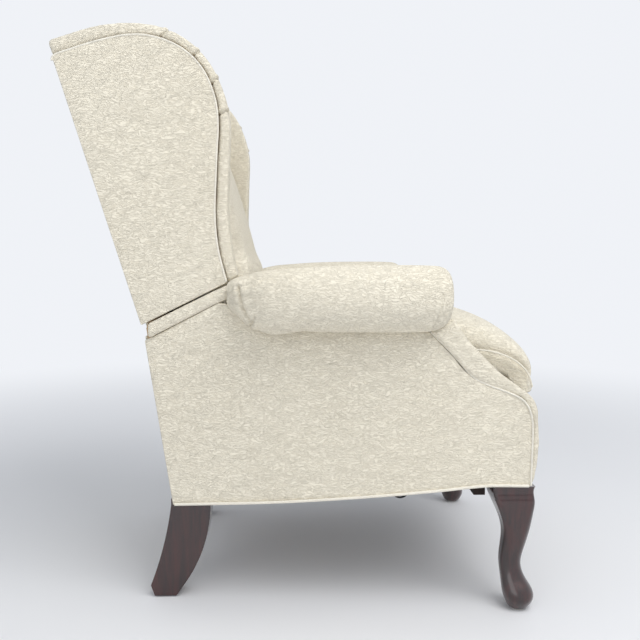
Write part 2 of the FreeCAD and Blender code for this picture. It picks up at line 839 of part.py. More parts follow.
roll_z = val(roll_center_z)
roll_r = val(s.roll_radius)
roll_front = -val(s.roll_front)
roll_x = val(arm_half_front)
ROLL = [
    (roll_front, roll_x, roll_z + 5, roll_r - 28),
    (roll_front + 3, roll_x, roll_z + 4, roll_r - 18),
    (roll_front + 12, roll_x, roll_z + 3, roll_r - 8),
    (roll_front + 28, roll_x, roll_z + 1, roll_r - 2),
    (roll_front + 55, roll_x, roll_z, roll_r),
    (roll_front + 150, roll_x, roll_z, roll_r),
    (-10, roll_x - 3, roll_z - 1, roll_r - 2),
    (45, roll_x - 9, roll_z - 1, roll_r - 6),
    (85, roll_x - 17, roll_z + 1, roll_r - 12),
    (115, roll_x - 25, roll_z + 6, roll_r - 25),
    (138, roll_x - 32, roll_z + 11, roll_r - 38),
    (148, roll_x - 35, roll_z + 13, roll_r - 47),
]
roll_shape = Part.makeLoft([circle_wire(x, y, z, r) for y, x, z, r in ROLL], True, False)
roll = feature("roll", roll_shape)
core = block(
    "roll_core",
    (arm_inner_half + s.arm_inner_pad + 0.6, arm_half_front),
    (-s.roll_front + 26, 60),
    (plank_top + 0.3, roll_center_z - 22),
)
core_width = slanted_slab("core_width", 0, 80)
roll = fused("roll_whole", [roll, boolean("Common", "roll_core_done", core, core_width)])
left_and_right("arm_roll", roll)

# Padded band round the front of the arm, and the sloped band under the wing

lead = s.band_front
band_outline = [
    (-front, s.hem_front + 2),
    (-front - lead + 6, s.hem_front + 6),
    (-front - lead - 2, 300, "arc"),
    (-front - lead, 372),
    (-front - 8, 400, "arc"),
    (-front + 14, 425),
    (-front + 62, 460),
    (-front + 96, 494, "arc"),
    (-front + 122, 521),
    (-front + 148, plank_top + 24),
    (-front + 178, plank_top + 12),
    (-front + 191, plank_top),
    *front_seam(0, 0)[::-1],
]
band = profile("front_band", band_outline, (arm_inner_half, arm_half_front - 2))
band = boolean("Cut", "front_band_done", band, roll)
left_and_right("arm_front_band", band)

slope_outline = [
    (arm_rear_at(520) - 9, under_wing(arm_rear_at(520) - 9, 3.2)),
    (158, under_wing(158, 3.2)),
    (158, under_wing(158, 29)),
    (arm_rear_at(520) - 9, under_wing(arm_rear_at(520) - 9, 31.5)),
]
slope_band = profile("slope_band", slope_outline, (rear_post_half + s.rail_thick + 1, s.arm_half_rear + 5))
inner_slope = profile(
    "inner_slope",
    [
        (s.pivot_y - 32, under_wing(s.pivot_y - 32, 3.2)),
        (158, under_wing(158, 3.2)),
        (158, under_wing(158, 30)),
        (s.pivot_y - 32, under_wing(s.pivot_y - 32, 31)),
    ],
    (arm_inner_half, rear_post_half + s.rail_thick + 1),
)
pair("arm_rear_bands", fused("rear_band", [slope_band, inner_slope]))

# Rear panel of the base, between the arms

back_board_low = s.hem_rear + 6
back_board_top = s.pivot_z - 15
base_back = profile(
    "base_back",
    [
        (arm_rear_at(back_board_low, s.panel_board + 1), back_board_low),
        (arm_rear_at(back_board_low, 1), back_board_low),
        (arm_rear_at(back_board_top, 1), back_board_top),
        (arm_rear_at(back_board_top, s.panel_board + 1), back_board_top),
    ],
    (-rear_post_half - 18, rear_post_half + 18),
)
node("base_back_panel", base_back)

# Welt cord along the hem of each arm panel

hem_radius = 2.6


def outside_x(y):
    """X of the arm panel's outside face."""
    return val(arm_half_front) - math.tan(math.radians(turn_angle)) * (y + val(front))


def hem_at(y, z):
    """A place on the middle of the cord, against the outside face of the panel."""
    return Vector(outside_x(y) + hem_radius + 0.1, y, val(z) + hem_radius + 0.2)


hem_marks = [
    hem_at(4 - val(front), s.hem_front),
    hem_at(-330, s.hem_front),
    hem_at(-140, hem_middle),
    hem_at(60, s.hem_rear + 6),
    hem_at(val(arm_rear_at(s.hem_rear)) - 4, s.hem_rear),
]
hem_path = Part.Wire([
    Part.LineSegment(hem_marks[0], hem_marks[1]).toShape(),
    Part.Arc(hem_marks[1], hem_marks[2], hem_marks[3]).toShape(),
    Part.LineSegment(hem_marks[3], hem_marks[4]).toShape(),
])
hem_ring = Part.Wire([Part.makeCircle(hem_radius, hem_marks[0], hem_marks[1] - hem_marks[0])])
hem = feature("hem", hem_path.makePipeShell([hem_ring], True, False))
pair("hem_welts", hem)

# Steel base plates, their pivot pins and the spring anchor

swing_y = {"front": -s.swing_front, "rear": s.swing_rear}
swing_drop = s.swing_length * cosine(s.swing_half_angle)
swing_back = s.swing_length * sine(s.swing_half_angle)
low_pivot_z = s.swing_top - swing_drop

base_plate = profile(
    "base_plate",
    [
        (swing_y["front"] - 26, s.rail_under + 6),
        (swing_y["rear"] + 26, s.rail_under + 6),
        (swing_y["rear"] + 16, s.swing_top + 12),
        (swing_y["front"] - 16, s.swing_top + 12),
    ],
    BASE_LAYER,
    [(swing_y["front"], s.swing_top, pin_hole), (swing_y["rear"], s.swing_top, pin_hole)],
)
pair("mechanism_base_plates", base_plate)

upper_pins = []
for place, y in swing_y.items():
    shank = crosswise_rod(f"{place}_upper_shank", y, s.swing_top, s.link_pin, (SWING_LAYER[0], BASE_LAYER[1]))
    head = crosswise_rod(
        f"{place}_upper_head", y, s.swing_top, s.link_pin + 3, (BASE_LAYER[1], BASE_LAYER[1] + 2.5)
    )
    upper_pins.append(fused(f"{place}_upper_pin", [shank, head]))
pins_in_plates = [piece for pin in upper_pins for piece in (pin, mirrored(pin))]
group("upper_swing_pins", pins_in_plates)

anchor_end = side_rail_half + 11.5
node("spring_anchor_rod", crosswise_rod("anchor_rod", s.anchor_y, s.anchor_z, s.rod_radius, (-anchor_end, anchor_end)))

bolt_shank = crosswise_rod(
    "pivot_shank", s.pivot_y, s.pivot_z, s.pivot_bolt,
    (stile_outer_half + 0.4, rear_post_half + s.rail_thick),
)
bolt_head = crosswise_rod(
    "pivot_head", s.pivot_y, s.pivot_z, s.pivot_bolt + 3.5,
    (rear_post_half + s.rail_thick, rear_post_half + s.rail_thick + 0.9),
)
pair("back_pivot_bolts", fused("pivot_bolt_whole", [bolt_shank, bolt_head]))

# Swing links

link_lean = 90 - s.swing_half_angle
swing_holes = [(0, pin_hole), (s.swing_length, pin_hole)]
for place, y in swing_y.items():
    link = strap(
        f"{place}_swing", (y, s.swing_top), -link_lean, s.swing_length, SWING_LAYER, 10, swing_holes
    )
    pair(f"swing_links_{place}", link)

# Seat plates: carry the seat on the swing links, the footrest links and the drag links

root = (-s.link_root_y, s.link_root_z)
up_y, up_z = sine(s.reach_tilt), cosine(s.reach_tilt)
slot_low = 2 * s.link_half * sine(s.open_angle) - 1
slot_high = 2 * s.link_half * sine(s.folded_angle) + 1
drag_seat = (s.drag_seat_y, drag_seat_z)
plate_under = s.link_root_z - 10
plate_top = seat_frame_top - 2
rod_y, rod_z = -s.spring_rod_y, s.spring_rod_z
low_pivot_y = {place: y + swing_back for place, y in swing_y.items()}

plate_outline = [
    (root[0] - 15, plate_under),
    (root[0] - 15, root[1] + 20),
    (root[0] + 8, plate_top),
    (root[0] + 215, plate_top),
    (root[0] + 215, root[1] + 60),
    (root[0] + 240, root[1] + 34),
    (low_pivot_y["rear"] + 2, root[1] + 34),
    (drag_seat[0] - 14, drag_seat[1] - 6),
    (drag_seat[0] - 8, drag_seat[1] + 9),
    (drag_seat[0] + 8, drag_seat[1] + 9),
    (drag_seat[0] + 13, drag_seat[1] - 6),
    (low_pivot_y["rear"] + 24, plate_under),
    (rod_y + 22, plate_under),
    (rod_y + 10, rod_z - 9),
    (rod_y - 10, rod_z - 9),
    (rod_y - 22, plate_under),
]
plate_holes = [
    (root[0], root[1], pin_hole),
    (low_pivot_y["front"], low_pivot_z, pin_hole),
    (low_pivot_y["rear"], low_pivot_z, pin_hole),
    (drag_seat[0], drag_seat[1], pin_hole),
    (rod_y, rod_z, s.rod_radius + s.pin_gap),
]
seat_plate = profile("seat_plate", plate_outline, SEAT_LAYER, plate_holes)
slot_tool = strap(
    "slot_tool",
    (root[0] + slot_low * up_y, root[1] + slot_low * up_z),
    90 - s.reach_tilt,
    slot_high - slot_low,
    (SEAT_LAYER[0] - 5, SEAT_LAYER[1] + 5),
    s.slide_pin + 0.1,
)
seat_plate = boolean("Cut", "seat_plate_slotted", seat_plate, slot_tool)
pair("seat_side_plates", seat_plate)

seat_pins = []


def headed_pin(name, y, z, x, head):
    """A pin with a head: x spans the shank, head spans the head."""
    shank = crosswise_rod(name + "_shank", y, z, s.link_pin, x)
    cap = crosswise_rod(name + "_cap", y, z, s.link_pin + 3, head)
    return fused(name, [shank, cap])


for place, y in low_pivot_y.items():
    span = (SEAT_LAYER[0], SWING_LAYER[1])
    seat_pins.append(headed_pin(f"{place}_low_pin", y, low_pivot_z, span, (SEAT_LAYER[0] - 2.5, SEAT_LAYER[0])))
root_head = (SEAT_LAYER[1], SEAT_LAYER[1] + 1.5)
root_span = (OUTER_LINK_LAYER[0], SEAT_LAYER[1])
seat_pins.append(headed_pin("link_root_pin", root[0], root[1], root_span, root_head))
drag_span = (SEAT_LAYER[0], SWING_LAYER[1])
drag_head = (SEAT_LAYER[0] - 2.5, SEAT_LAYER[0])
seat_pins.append(headed_pin("drag_seat_pin", drag_seat[0], drag_seat[1], drag_span, drag_head))
group("seat_pivot_pins", [piece for pin in seat_pins for piece in (pin, mirrored(pin))])

rod_end = SEAT_LAYER[1] + 0.5
node("seat_spring_rod", crosswise_rod("spring_rod", rod_y, rod_z, s.rod_radius, (-rod_end, rod_end)))

# Return springs: a coil with a round ring on the seat's rod and a round hook on the anchor rod

wire = 2
stem = wire - 0.2
spring_x = val(s.spring_half)
rod_at = Vector(spring_x, val(rod_y), val(rod_z))
anchor_at = Vector(spring_x, val(s.anchor_y), val(s.anchor_z))
hold = val(s.rod_radius) + wire + 0.15
ring_radius = 17
ring_at = rod_at + Vector(0, 0, hold - ring_radius)
along = (anchor_at - ring_at).normalize()
run = (anchor_at - ring_at).Length - ring_radius - hold
front_ring = Part.makeTorus(ring_radius, wire, ring_at, Vector(1, 0, 0))
rear_ring = Part.makeTorus(hold, wire, anchor_at, Vector(1, 0, 0))
core = Part.makeCylinder(stem, run, ring_at + along * ring_radius, along)
coil = Part.makeCylinder(8, run - 30, ring_at + along * (ring_radius + 12), along)
spring = feature("return_spring", coil.fuse([core, front_ring, rear_ring]))
pair("return_springs", spring)

# Seat frame, webbing and cushion

seat_y = (-s.seat_front, s.seat_rear)
seat_z = (s.seat_frame_under, seat_frame_top)
seat_x_in = seat_half - s.rail_thick
seat_rails = [
    block("seat_front_rail", (-seat_half, seat_half), (seat_y[0], seat_y[0] + s.rail_thick), seat_z),
    block("seat_rear_rail", (-seat_half, seat_half), (seat_y[1] - s.rail_thick, seat_y[1]), seat_z),
]
seat_side = block(
    "seat_side_rail",
    (seat_x_in, seat_half),
    (seat_y[0] + s.rail_thick, seat_y[1] - s.rail_thick),
    seat_z,
)
group("seat_rails", seat_rails + [seat_side, mirrored(seat_side)])

spacers = []
for name, y in (("front_spacer", -s.swing_front + 15), ("rear_spacer", -s.swing_front + 45)):
    spacer = block(
        name, (seat_half, SEAT_LAYER[0]), (y, y + 20), (s.seat_frame_under + 5, seat_frame_top - 5)
    )
    spacers += [spacer, mirrored(spacer)]
group("seat_spacers", spacers)

straps = []
WEB_WIDE = 50
for index in range(5):
    x = (index - 2) * (seat_half * 2 - 100) / 4
    straps.append(
        block(f"seat_strap_{index}", (x - WEB_WIDE / 2, x + WEB_WIDE / 2), seat_y,
              (seat_frame_top, seat_frame_top + s.web_thick))
    )
for index in range(5):
    y = seat_y[0] + 55 + index * (s.seat_rear + s.seat_front - 110) / 4
    low = seat_frame_top + s.web_thick
    straps.append(
        block(f"seat_cross_strap_{index}", (-seat_half, seat_half),
              (y - WEB_WIDE / 2, y + WEB_WIDE / 2), (low, low + s.web_thick))
    )
group("seat_webbing", straps)

deck = val(seat_frame_top + s.web_thick * 2) + 0.3
lip = val(cushion_lip)
lip_back = -val(s.seat_front) - 4
nose = -val(s.cushion_nose)
crown = val(cushion_crown)
rear = val(s.cushion_rear)


def cushion_section(x, drop, retreat, lift):
    """One lengthwise section of the seat cushion: flat below, crowned above, with a rounded nose."""
    top = crown - drop
    front_y = nose + retreat
    base = deck + lift
    height = top - base
    return wire_of(
        [
            (rear - retreat, base),
            (lip_back, base),
            (lip_back - 2, lip + lift),
            (front_y + 10, lip + lift),
            (front_y, base + 0.24 * height, 0),
            (front_y + 26, base + 0.55 * height),
            (front_y + 90, base + 0.87 * height, 0),
            (front_y + 220, top),
            (front_y + 420, top - 4, 0),
            (rear - 25 - retreat, base + 0.86 * height),
            (rear - retreat, base + 0.45 * height, 0),
        ],
        x,
    )




def stations(half, falls, power=3.2):
    """Places across a cushion, closer together at its sides, each with its share of every fall."""
    places = []
    for share in (-1, -0.985, -0.94, -0.85, -0.7, -0.5, -0.25, 0, 0.25, 0.5, 0.7, 0.85, 0.94, 0.985, 1):
        bulge = 1 - (1 - abs(share) ** power) ** (1 / power)
        places.append([share * half] + [fall * bulge for fall in falls])
    return places


cushion_places = stations(val(cushion_half), (52, 16, 5))
cushion_shape = Part.makeLoft([cushion_section(*place) for place in cushion_places], True, False)
link_room = block(
    "link_room",
    (INNER_LINK_LAYER[0] - 1.5, OUTER_LINK_LAYER[1] + 1.5),
    (-s.link_root_y - s.link_half * 1.04, 3 - s.seat_front),
    (cushion_lip - 20, s.link_root_z + s.link_half * 2 + s.link_half_wide + 4),
)
cushion = feature("cushion", cushion_shape)
cushion = boolean("Cut", "cushion_left_relieved", cushion, link_room)
node("seat_cushion", boolean("Cut", "seat_cushion", cushion, mirrored(link_room)))

# Footrest linkage

fold = s.folded_angle
reach_cos = 2 * s.link_half * cosine(fold)
reach_sin = 2 * s.link_half * sine(fold)


def reach_point(along_reach, across_reach):
    """Row Y and Z from the link root, along the footrest's reach and square to it."""
    y = root[0] - along_reach * up_z + across_reach * up_y
    z = root[1] + along_reach * up_y + across_reach * up_z
    return y, z


full = 2 * s.link_half
end_a = reach_point(reach_cos, reach_sin)
slide_b = reach_point(0, reach_sin)
end_b = reach_point(reach_cos, 0)
end_c = reach_point(2 * reach_cos, 0)
middle_ab = reach_point(reach_cos / 2, reach_sin / 2)
middle_cd = reach_point(reach_cos * 1.5, reach_sin / 2)
up_turn = 180 - (fold + s.reach_tilt)
down_turn = 180 + (fold - s.reach_tilt)
wide = s.link_half_wide

link_a = strap(
    "link_a", root, up_turn, full, OUTER_LINK_LAYER, wide,
    [(0, pin_hole), (s.link_half, pin_hole)],
    [(full, s.link_pin, INNER_LINK_LAYER[0], OUTER_LINK_LAYER[0])],
)
pair("footrest_links_a", link_a)
torque_end = OUTER_LINK_LAYER[0]
node("footrest_torque_rod", crosswise_rod("torque_rod", root[0], root[1], s.link_pin, (-torque_end, torque_end)))

link_b = strap(
    "link_b", slide_b, down_turn, full, INNER_LINK_LAYER, wide,
    [(s.link_half, pin_hole)],
    [
        (0, s.slide_pin, INNER_LINK_LAYER[1], SEAT_LAYER[1]),
        (full, s.link_pin, INNER_LINK_LAYER[1], OUTER_LINK_LAYER[1]),
    ],
)
pair("footrest_links_b", link_b)
rod_span = OUTER_LINK_LAYER[1]
middle_rod = crosswise_rod("middle_rod", middle_ab[0], middle_ab[1], s.link_pin, (-rod_span, rod_span))
node("footrest_middle_rod", middle_rod)

link_c = strap(
    "link_c", end_a, down_turn, full, INNER_LINK_LAYER, wide,
    [(0, pin_hole), (s.link_half, pin_hole)],
)
foot = profile(
    "board_foot",
    [
        (-s.board_back, end_c[1] - 4),
        (-s.board_back, end_c[1] + 46),
        (end_c[0] + 8, end_c[1] + 46),
        (end_c[0] - 3, end_c[1] - 4),
    ],
    INNER_LINK_LAYER,
)
pair("footrest_links_c", fused("link_c_whole", [link_c, foot]))

link_d = strap(
    "link_d", end_b, up_turn, s.link_half, OUTER_LINK_LAYER, wide,
    [(0, pin_hole), (s.link_half, pin_hole)],
)
pair("footrest_links_d", link_d)
upper_rod = crosswise_rod("upper_rod", middle_cd[0], middle_cd[1], s.link_pin, (-rod_span, rod_span))
node("footrest_upper_rod", upper_rod)

# Footrest board and pad

board_face = -s.board_back - s.board_thick
footboard = block(
    "footboard",
    (-board_half, board_half),
    (board_face, -s.board_back),
    (s.board_under, s.board_top),
)
node("footrest_board", footboard)

pad_face = -val(s.pad_front)
pad_back = val(board_face) - 0.05


def footpad_section(x, flat, trim):
    """One upright section of the footrest pad, fuller in the middle of its height."""
    low = val(s.board_under) - 4 + trim
    high = val(s.board_top) + 4 - trim
    face = pad_face + flat
    return wire_of(
        [
            (pad_back, low),
            (pad_back - 12, low),
            (face + 5, low + 8, 0),
            (face + 3, low + 26),
            (face, (low + high) / 2, 0),
            (face + 3, high - 24),
            (face + 5, high - 9, 0),
            (pad_back - 12, high),
            (pad_back, high),
        ],
        x,
    )


pad_places = stations(val(board_half) + 2, (9, 6))
pad_shape = Part.makeLoft([footpad_section(*place) for place in pad_places], True, False)
node("footrest_pad", feature("footrest_pad", pad_shape))

# Back frame

inset = s.panel_board + 1
stile_x = (stile_outer_half - s.stile_wide, stile_outer_half)
stile_w = (inset, inset + s.stile_deep)
stile_top = s.wing_height - 1
stile = raked_block("stile", stile_x, stile_w, (-s.stile_below, stile_top))
pair("back_stiles", stile)

rails = []
for name, low, tall in (
    ("lower_back_rail", -s.stile_below + 10, 50),
    ("middle_back_rail", s.wing_height * 0.4, 45),
    ("upper_back_rail", stile_top - 55, 55),
):
    rails.append(raked_block(name, (-stile_x[0], stile_x[0]), stile_w, (low, low + tall)))
group("back_cross_rails", rails)

web_w = stile_w[1]
straps = []
for index in range(4):
    x = (index - 1.5) * 100
    straps.append(
        raked_block(f"back_strap_{index}", (x - WEB_WIDE / 2, x + WEB_WIDE / 2),
                    (web_w, web_w + s.web_thick), (-s.stile_below + 10, stile_top))
    )
for index in range(6):
    u = index * (stile_top - 40) / 6
    low = web_w + s.web_thick
    straps.append(
        raked_block(f"back_cross_strap_{index}", (1.5 - wing_inner_half, wing_inner_half - 1.5),
                    (low, low + s.web_thick), (u, u + WEB_WIDE))
    )
group("back_webbing", straps)

# Hinge plates on the stiles, with the pins of the drag links

hinge_x = (stile_outer_half, stile_outer_half + s.hinge_plate)
hinge = profile(
    "hinge",
    [
        (s.drag_back_y - 11, s.drag_back_z - 2),
        (s.drag_back_y, s.drag_back_z - 10, "arc"),
        (s.drag_back_y + 10, s.drag_back_z - 3),
        (s.pivot_y + 1, s.pivot_z - 18),
        (s.pivot_y + 9, s.pivot_z - 6),
        (s.pivot_y + 9.5, s.pivot_z + 5, "arc"),
        (s.pivot_y, s.pivot_z + 11),
        (s.pivot_y - 22, s.pivot_z + 11),
        (s.pivot_y - 42, s.pivot_z - 40),
    ],
    hinge_x,
    [(s.pivot_y, s.pivot_z, s.pivot_bolt + s.pin_gap)],
)
drag_pin = crosswise_rod(
    "drag_back_pin", s.drag_back_y, s.drag_back_z, s.link_pin, (SWING_LAYER[0], hinge_x[0])
)
pair("back_hinge_plates", fused("hinge_whole", [hinge, drag_pin]))

# Drag links from the seat plates to the back, with a slotted rear eye

drag_run = (s.drag_back_y - drag_seat[0], s.drag_back_z - drag_seat[1])
drag_length = math.hypot(val(drag_run[0]), val(drag_run[1]))
drag_turn = math.degrees(math.atan2(val(drag_run[1]), val(drag_run[0])))
eye = strap(
    "drag_eye",
    drag_seat,
    drag_turn,
    drag_length + s.drag_slot,
    (SWING_LAYER[0] - 5, SWING_LAYER[1] + 5),
    s.link_pin + 0.3,
)
eye_room = (s.drag_back_z - 60, s.drag_back_z + 60)
eye_keep = block(
    "drag_eye_keep", (0, side_rail_half), (s.drag_back_y - s.drag_slot - s.link_pin - 2, s.drag_back_y + 60),
    eye_room,
)
drag_tip = strap(
    "drag_tip", drag_seat, drag_turn, drag_length + 5, SWING_LAYER, 9.5, [(0, pin_hole)]
)
drag = boolean("Cut", "drag_link", drag_tip, boolean("Common", "drag_eye_cut", eye, eye_keep))
pair("drag_links", drag)

# Wings: frame boards on cleats, outside panels and padded insides with a rolled edge


# share of the wing's reach, share of its height, roll-out ahead and up as shares of wing_roll
WING_EDGE = [
    (0.272, 1.002, 0, 1.18),
    (0.518, 0.994, 0.12, 0.98, "arc"),
    (0.681, 0.970, 0.52, 0.72),
    (0.899, 0.885, 0.58, 0.44, "arc"),
    (1, 0.732, 0.66, 0.32),
    (0.988, 0.649, 0.76, 0, "arc"),
    (0.907, 0.527, 0.92, 0),
    (0.765, 0.330, 1, 0),
    (0.702, 0.202, 1.02, 0, "arc"),
]


def wing_outline(low, out, grow):
    """The wing's outline in the back's frame: up the rear, over the top and down the front.

    The share out is 0 on the seam of the outside panel, 1 on the rolled edge and below 0 inside.
    """
    rate = sine(s.wing_slope) / cosine(s.wing_slope)
    corners = []
    for reach, height, ahead, above, *kind in WING_EDGE:
        w = s.wing_reach * reach + s.wing_roll * (ahead * out)
        u = s.wing_height * height + s.wing_roll * (above * out)
        corners.append((w, u, *kind))
    top = s.wing_height + s.wing_roll * (1.2 * out)
    foot = s.wing_reach * 0.685 + s.wing_roll * (0.9 * out)
    return [(low, low * rate + grow), (low, top), *corners, (foot, foot * rate + grow)]


panel_x = (wing_half - s.panel_board, wing_half)
wing_panel = raked_profile("wing_panel", wing_outline(as_size(0), 0, 0), panel_x)
left_and_right("wing_outside_panel", wing_panel)

board_x = (panel_x[0] - s.wing_board - 0.3, panel_x[0] - 0.3)
board_outline = wing_outline(inset, -0.35, 5)
wing_board = raked_profile("wing_board", board_outline, board_x)
cleats = []
for name, low in (("lower_cleat", 60), ("upper_cleat", s.wing_height * 0.75)):
    cleats.append(raked_block(name, (stile_outer_half, board_x[0]), stile_w, (low, low + 70)))
group("wing_frames", [wing_board, mirrored(wing_board)])
cleat_pieces = [piece for cleat in cleats for piece in (cleat, mirrored(cleat))]
group("wing_cleats", cleat_pieces)

soft = s.soft_gap
wing_pad_outline = wing_outline(as_size(0), 1, 1)
wing_pad = raked_profile("wing_pad_blank", wing_pad_outline, (wing_inner_half, panel_x[0]))
hollow = raked_profile(
    "wing_pad_hollow", wing_outline(as_size(-30), 0.06, -20), (board_x[0] - soft, wing_half + 5)
)
frame_room = raked_block(
    "wing_frame_room", (wing_inner_half - 5, board_x[0] + 5), (-5, stile_w[1] + soft),
    (-40, s.wing_height + 1),
)
wing_pad = boolean("Cut", "wing_pad_shell", wing_pad, hollow)
wing_pad = boolean("Cut", "wing_pad", wing_pad, frame_room)
left_and_right("wing_pad", wing_pad)

# Outside back panel

outside_back = raked_block(
    "outside_back", (-panel_x[0] + 0.5, panel_x[0] - 0.5), (0, s.panel_board), (8, s.wing_height)
)
flap_half = stile_outer_half - 1.5
outside_flap = raked_block("outside_flap", (-flap_half, flap_half), (0, s.panel_board), (-12, 8))
node("back_outside_panel", fused("outside_back_whole", [outside_back, outside_flap]))

# Back cushion: full at the front, rounded over the top of the frame

lean_turn = Rotation(Vector(1, 0, 0), -val(s.back_rake))
lean_base = Vector(0, val(s.back_foot_y), val(s.back_foot_z))
cushion_back = val(web_w + s.web_thick * 2) + 0.3
cushion_face = val(s.back_cushion_front)
cushion_top = val(s.wing_height) + 30
frame_top = val(stile_top) + 1


def back_section(x, flat, drop):
    """One section of the back cushion in the back's frame, as (-w, u)."""
    face = cushion_face - flat
    top = cushion_top - drop
    return wire_of(
        [
            (-cushion_back, -50),
            (-cushion_back, frame_top),
            (-8, frame_top),
            (-8, top - 12),
            (-14, top - 2, 0),
            (-26, top),
            (-face * 0.62, top - 12, 0),
            (-face * 0.93, top - 95),
            (-face, top * 0.5, 0),
            (-face * 0.985, 70),
            (-face * 0.97, -10, 0),
            (-face * 0.86, -48),
        ],
        x,
    )


back_places = stations(val(back_cushion_half), (26, 9))
back_shape = Part.makeLoft([back_section(*place) for place in back_places], True, False)
back_cushion = feature("back_cushion", back_shape)
back_cushion.Placement = Placement(lean_base, lean_turn)
node("back_cushion", back_cushion)

# Check and write

doc.recompute()
troubled = [obj.Name for obj in doc.Objects if {"Invalid", "Error"} & set(obj.State)]
if troubled:
    raise RuntimeError(f"objects that failed: {troubled}")
for piece in subparts:
    if piece.Shape.isNull() or not piece.Shape.isValid():
        raise RuntimeError(f"bad shape: {piece.Label}")
for piece in subparts:
    piece.Shape.exportStep(f"parts/{piece.Label}.step")
print(f"wrote {len(subparts)} nodes")
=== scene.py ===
# %% [markdown]
# # A wingback recliner in cream chenille
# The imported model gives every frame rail, link and leg at its true place. This script dresses it:
# the wooden and steel parts keep their CAD shape and get a finish, and everything that is padded
# is made again as cloth over foam, because foam swells, seams pull in and corners gather.
# All lengths are metres. The chair faces -Y, and +X is the sitter's left.

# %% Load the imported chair
import json
import math
from contextlib import contextmanager

import bmesh
import bpy
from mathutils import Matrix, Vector


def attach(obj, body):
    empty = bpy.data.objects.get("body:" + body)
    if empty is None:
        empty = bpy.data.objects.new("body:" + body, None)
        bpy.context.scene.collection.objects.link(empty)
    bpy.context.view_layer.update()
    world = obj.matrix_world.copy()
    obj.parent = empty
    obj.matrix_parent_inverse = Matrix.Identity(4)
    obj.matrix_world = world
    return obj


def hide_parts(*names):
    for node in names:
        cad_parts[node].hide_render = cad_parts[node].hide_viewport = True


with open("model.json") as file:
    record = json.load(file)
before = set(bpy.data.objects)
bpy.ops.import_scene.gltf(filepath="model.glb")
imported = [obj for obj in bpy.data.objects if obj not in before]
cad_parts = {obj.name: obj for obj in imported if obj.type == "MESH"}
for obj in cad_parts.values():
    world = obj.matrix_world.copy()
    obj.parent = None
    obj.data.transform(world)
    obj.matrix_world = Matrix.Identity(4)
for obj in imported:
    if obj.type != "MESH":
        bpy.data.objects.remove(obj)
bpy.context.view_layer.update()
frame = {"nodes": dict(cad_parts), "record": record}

scene = bpy.context.scene
nodes = frame["nodes"]
bodies = frame["record"]["behaviour"]["bodies"]
body_of = {node: body for body, members in bodies.items() for node in members}

# %% [markdown]
# ## Writing a finish as a formula
# A material is a graph of nodes, which is hard to read as a list of links. Wrapping a socket in a
# small class lets ordinary arithmetic build the Math nodes, so a finish reads like its formula.
# Colours and vectors don't go through Math nodes, because those turn a colour grey.


# %% A socket that can be added and multiplied
class Value:
    """One output socket. Arithmetic on it adds Math nodes."""

    def __init__(self, finish, socket):
        self.finish = finish
        self.socket = socket

    def _math(self, operation, *inputs):
        return self.finish.add("ShaderNodeMath", {"operation": operation}, *inputs)

    def __add__(self, other):
        return self._math("ADD", self, other)

    def __sub__(self, other):
        return self._math("SUBTRACT", self, other)

    def __rsub__(self, other):
        return self._math("SUBTRACT", other, self)

    def __mul__(self, other):
        return self._math("MULTIPLY", self, other)

    def absolute(self):
        return self._math("ABSOLUTE", self)

    def between(self, low, high):
        """0 below low, 1 above high, smooth in the middle."""
        settings = {"interpolation_type": "SMOOTHSTEP", "clamp": True}
        return self.finish.add("ShaderNodeMapRange", settings, self, low, high, 0.0, 1.0)

    __radd__ = __add__
    __rmul__ = __mul__


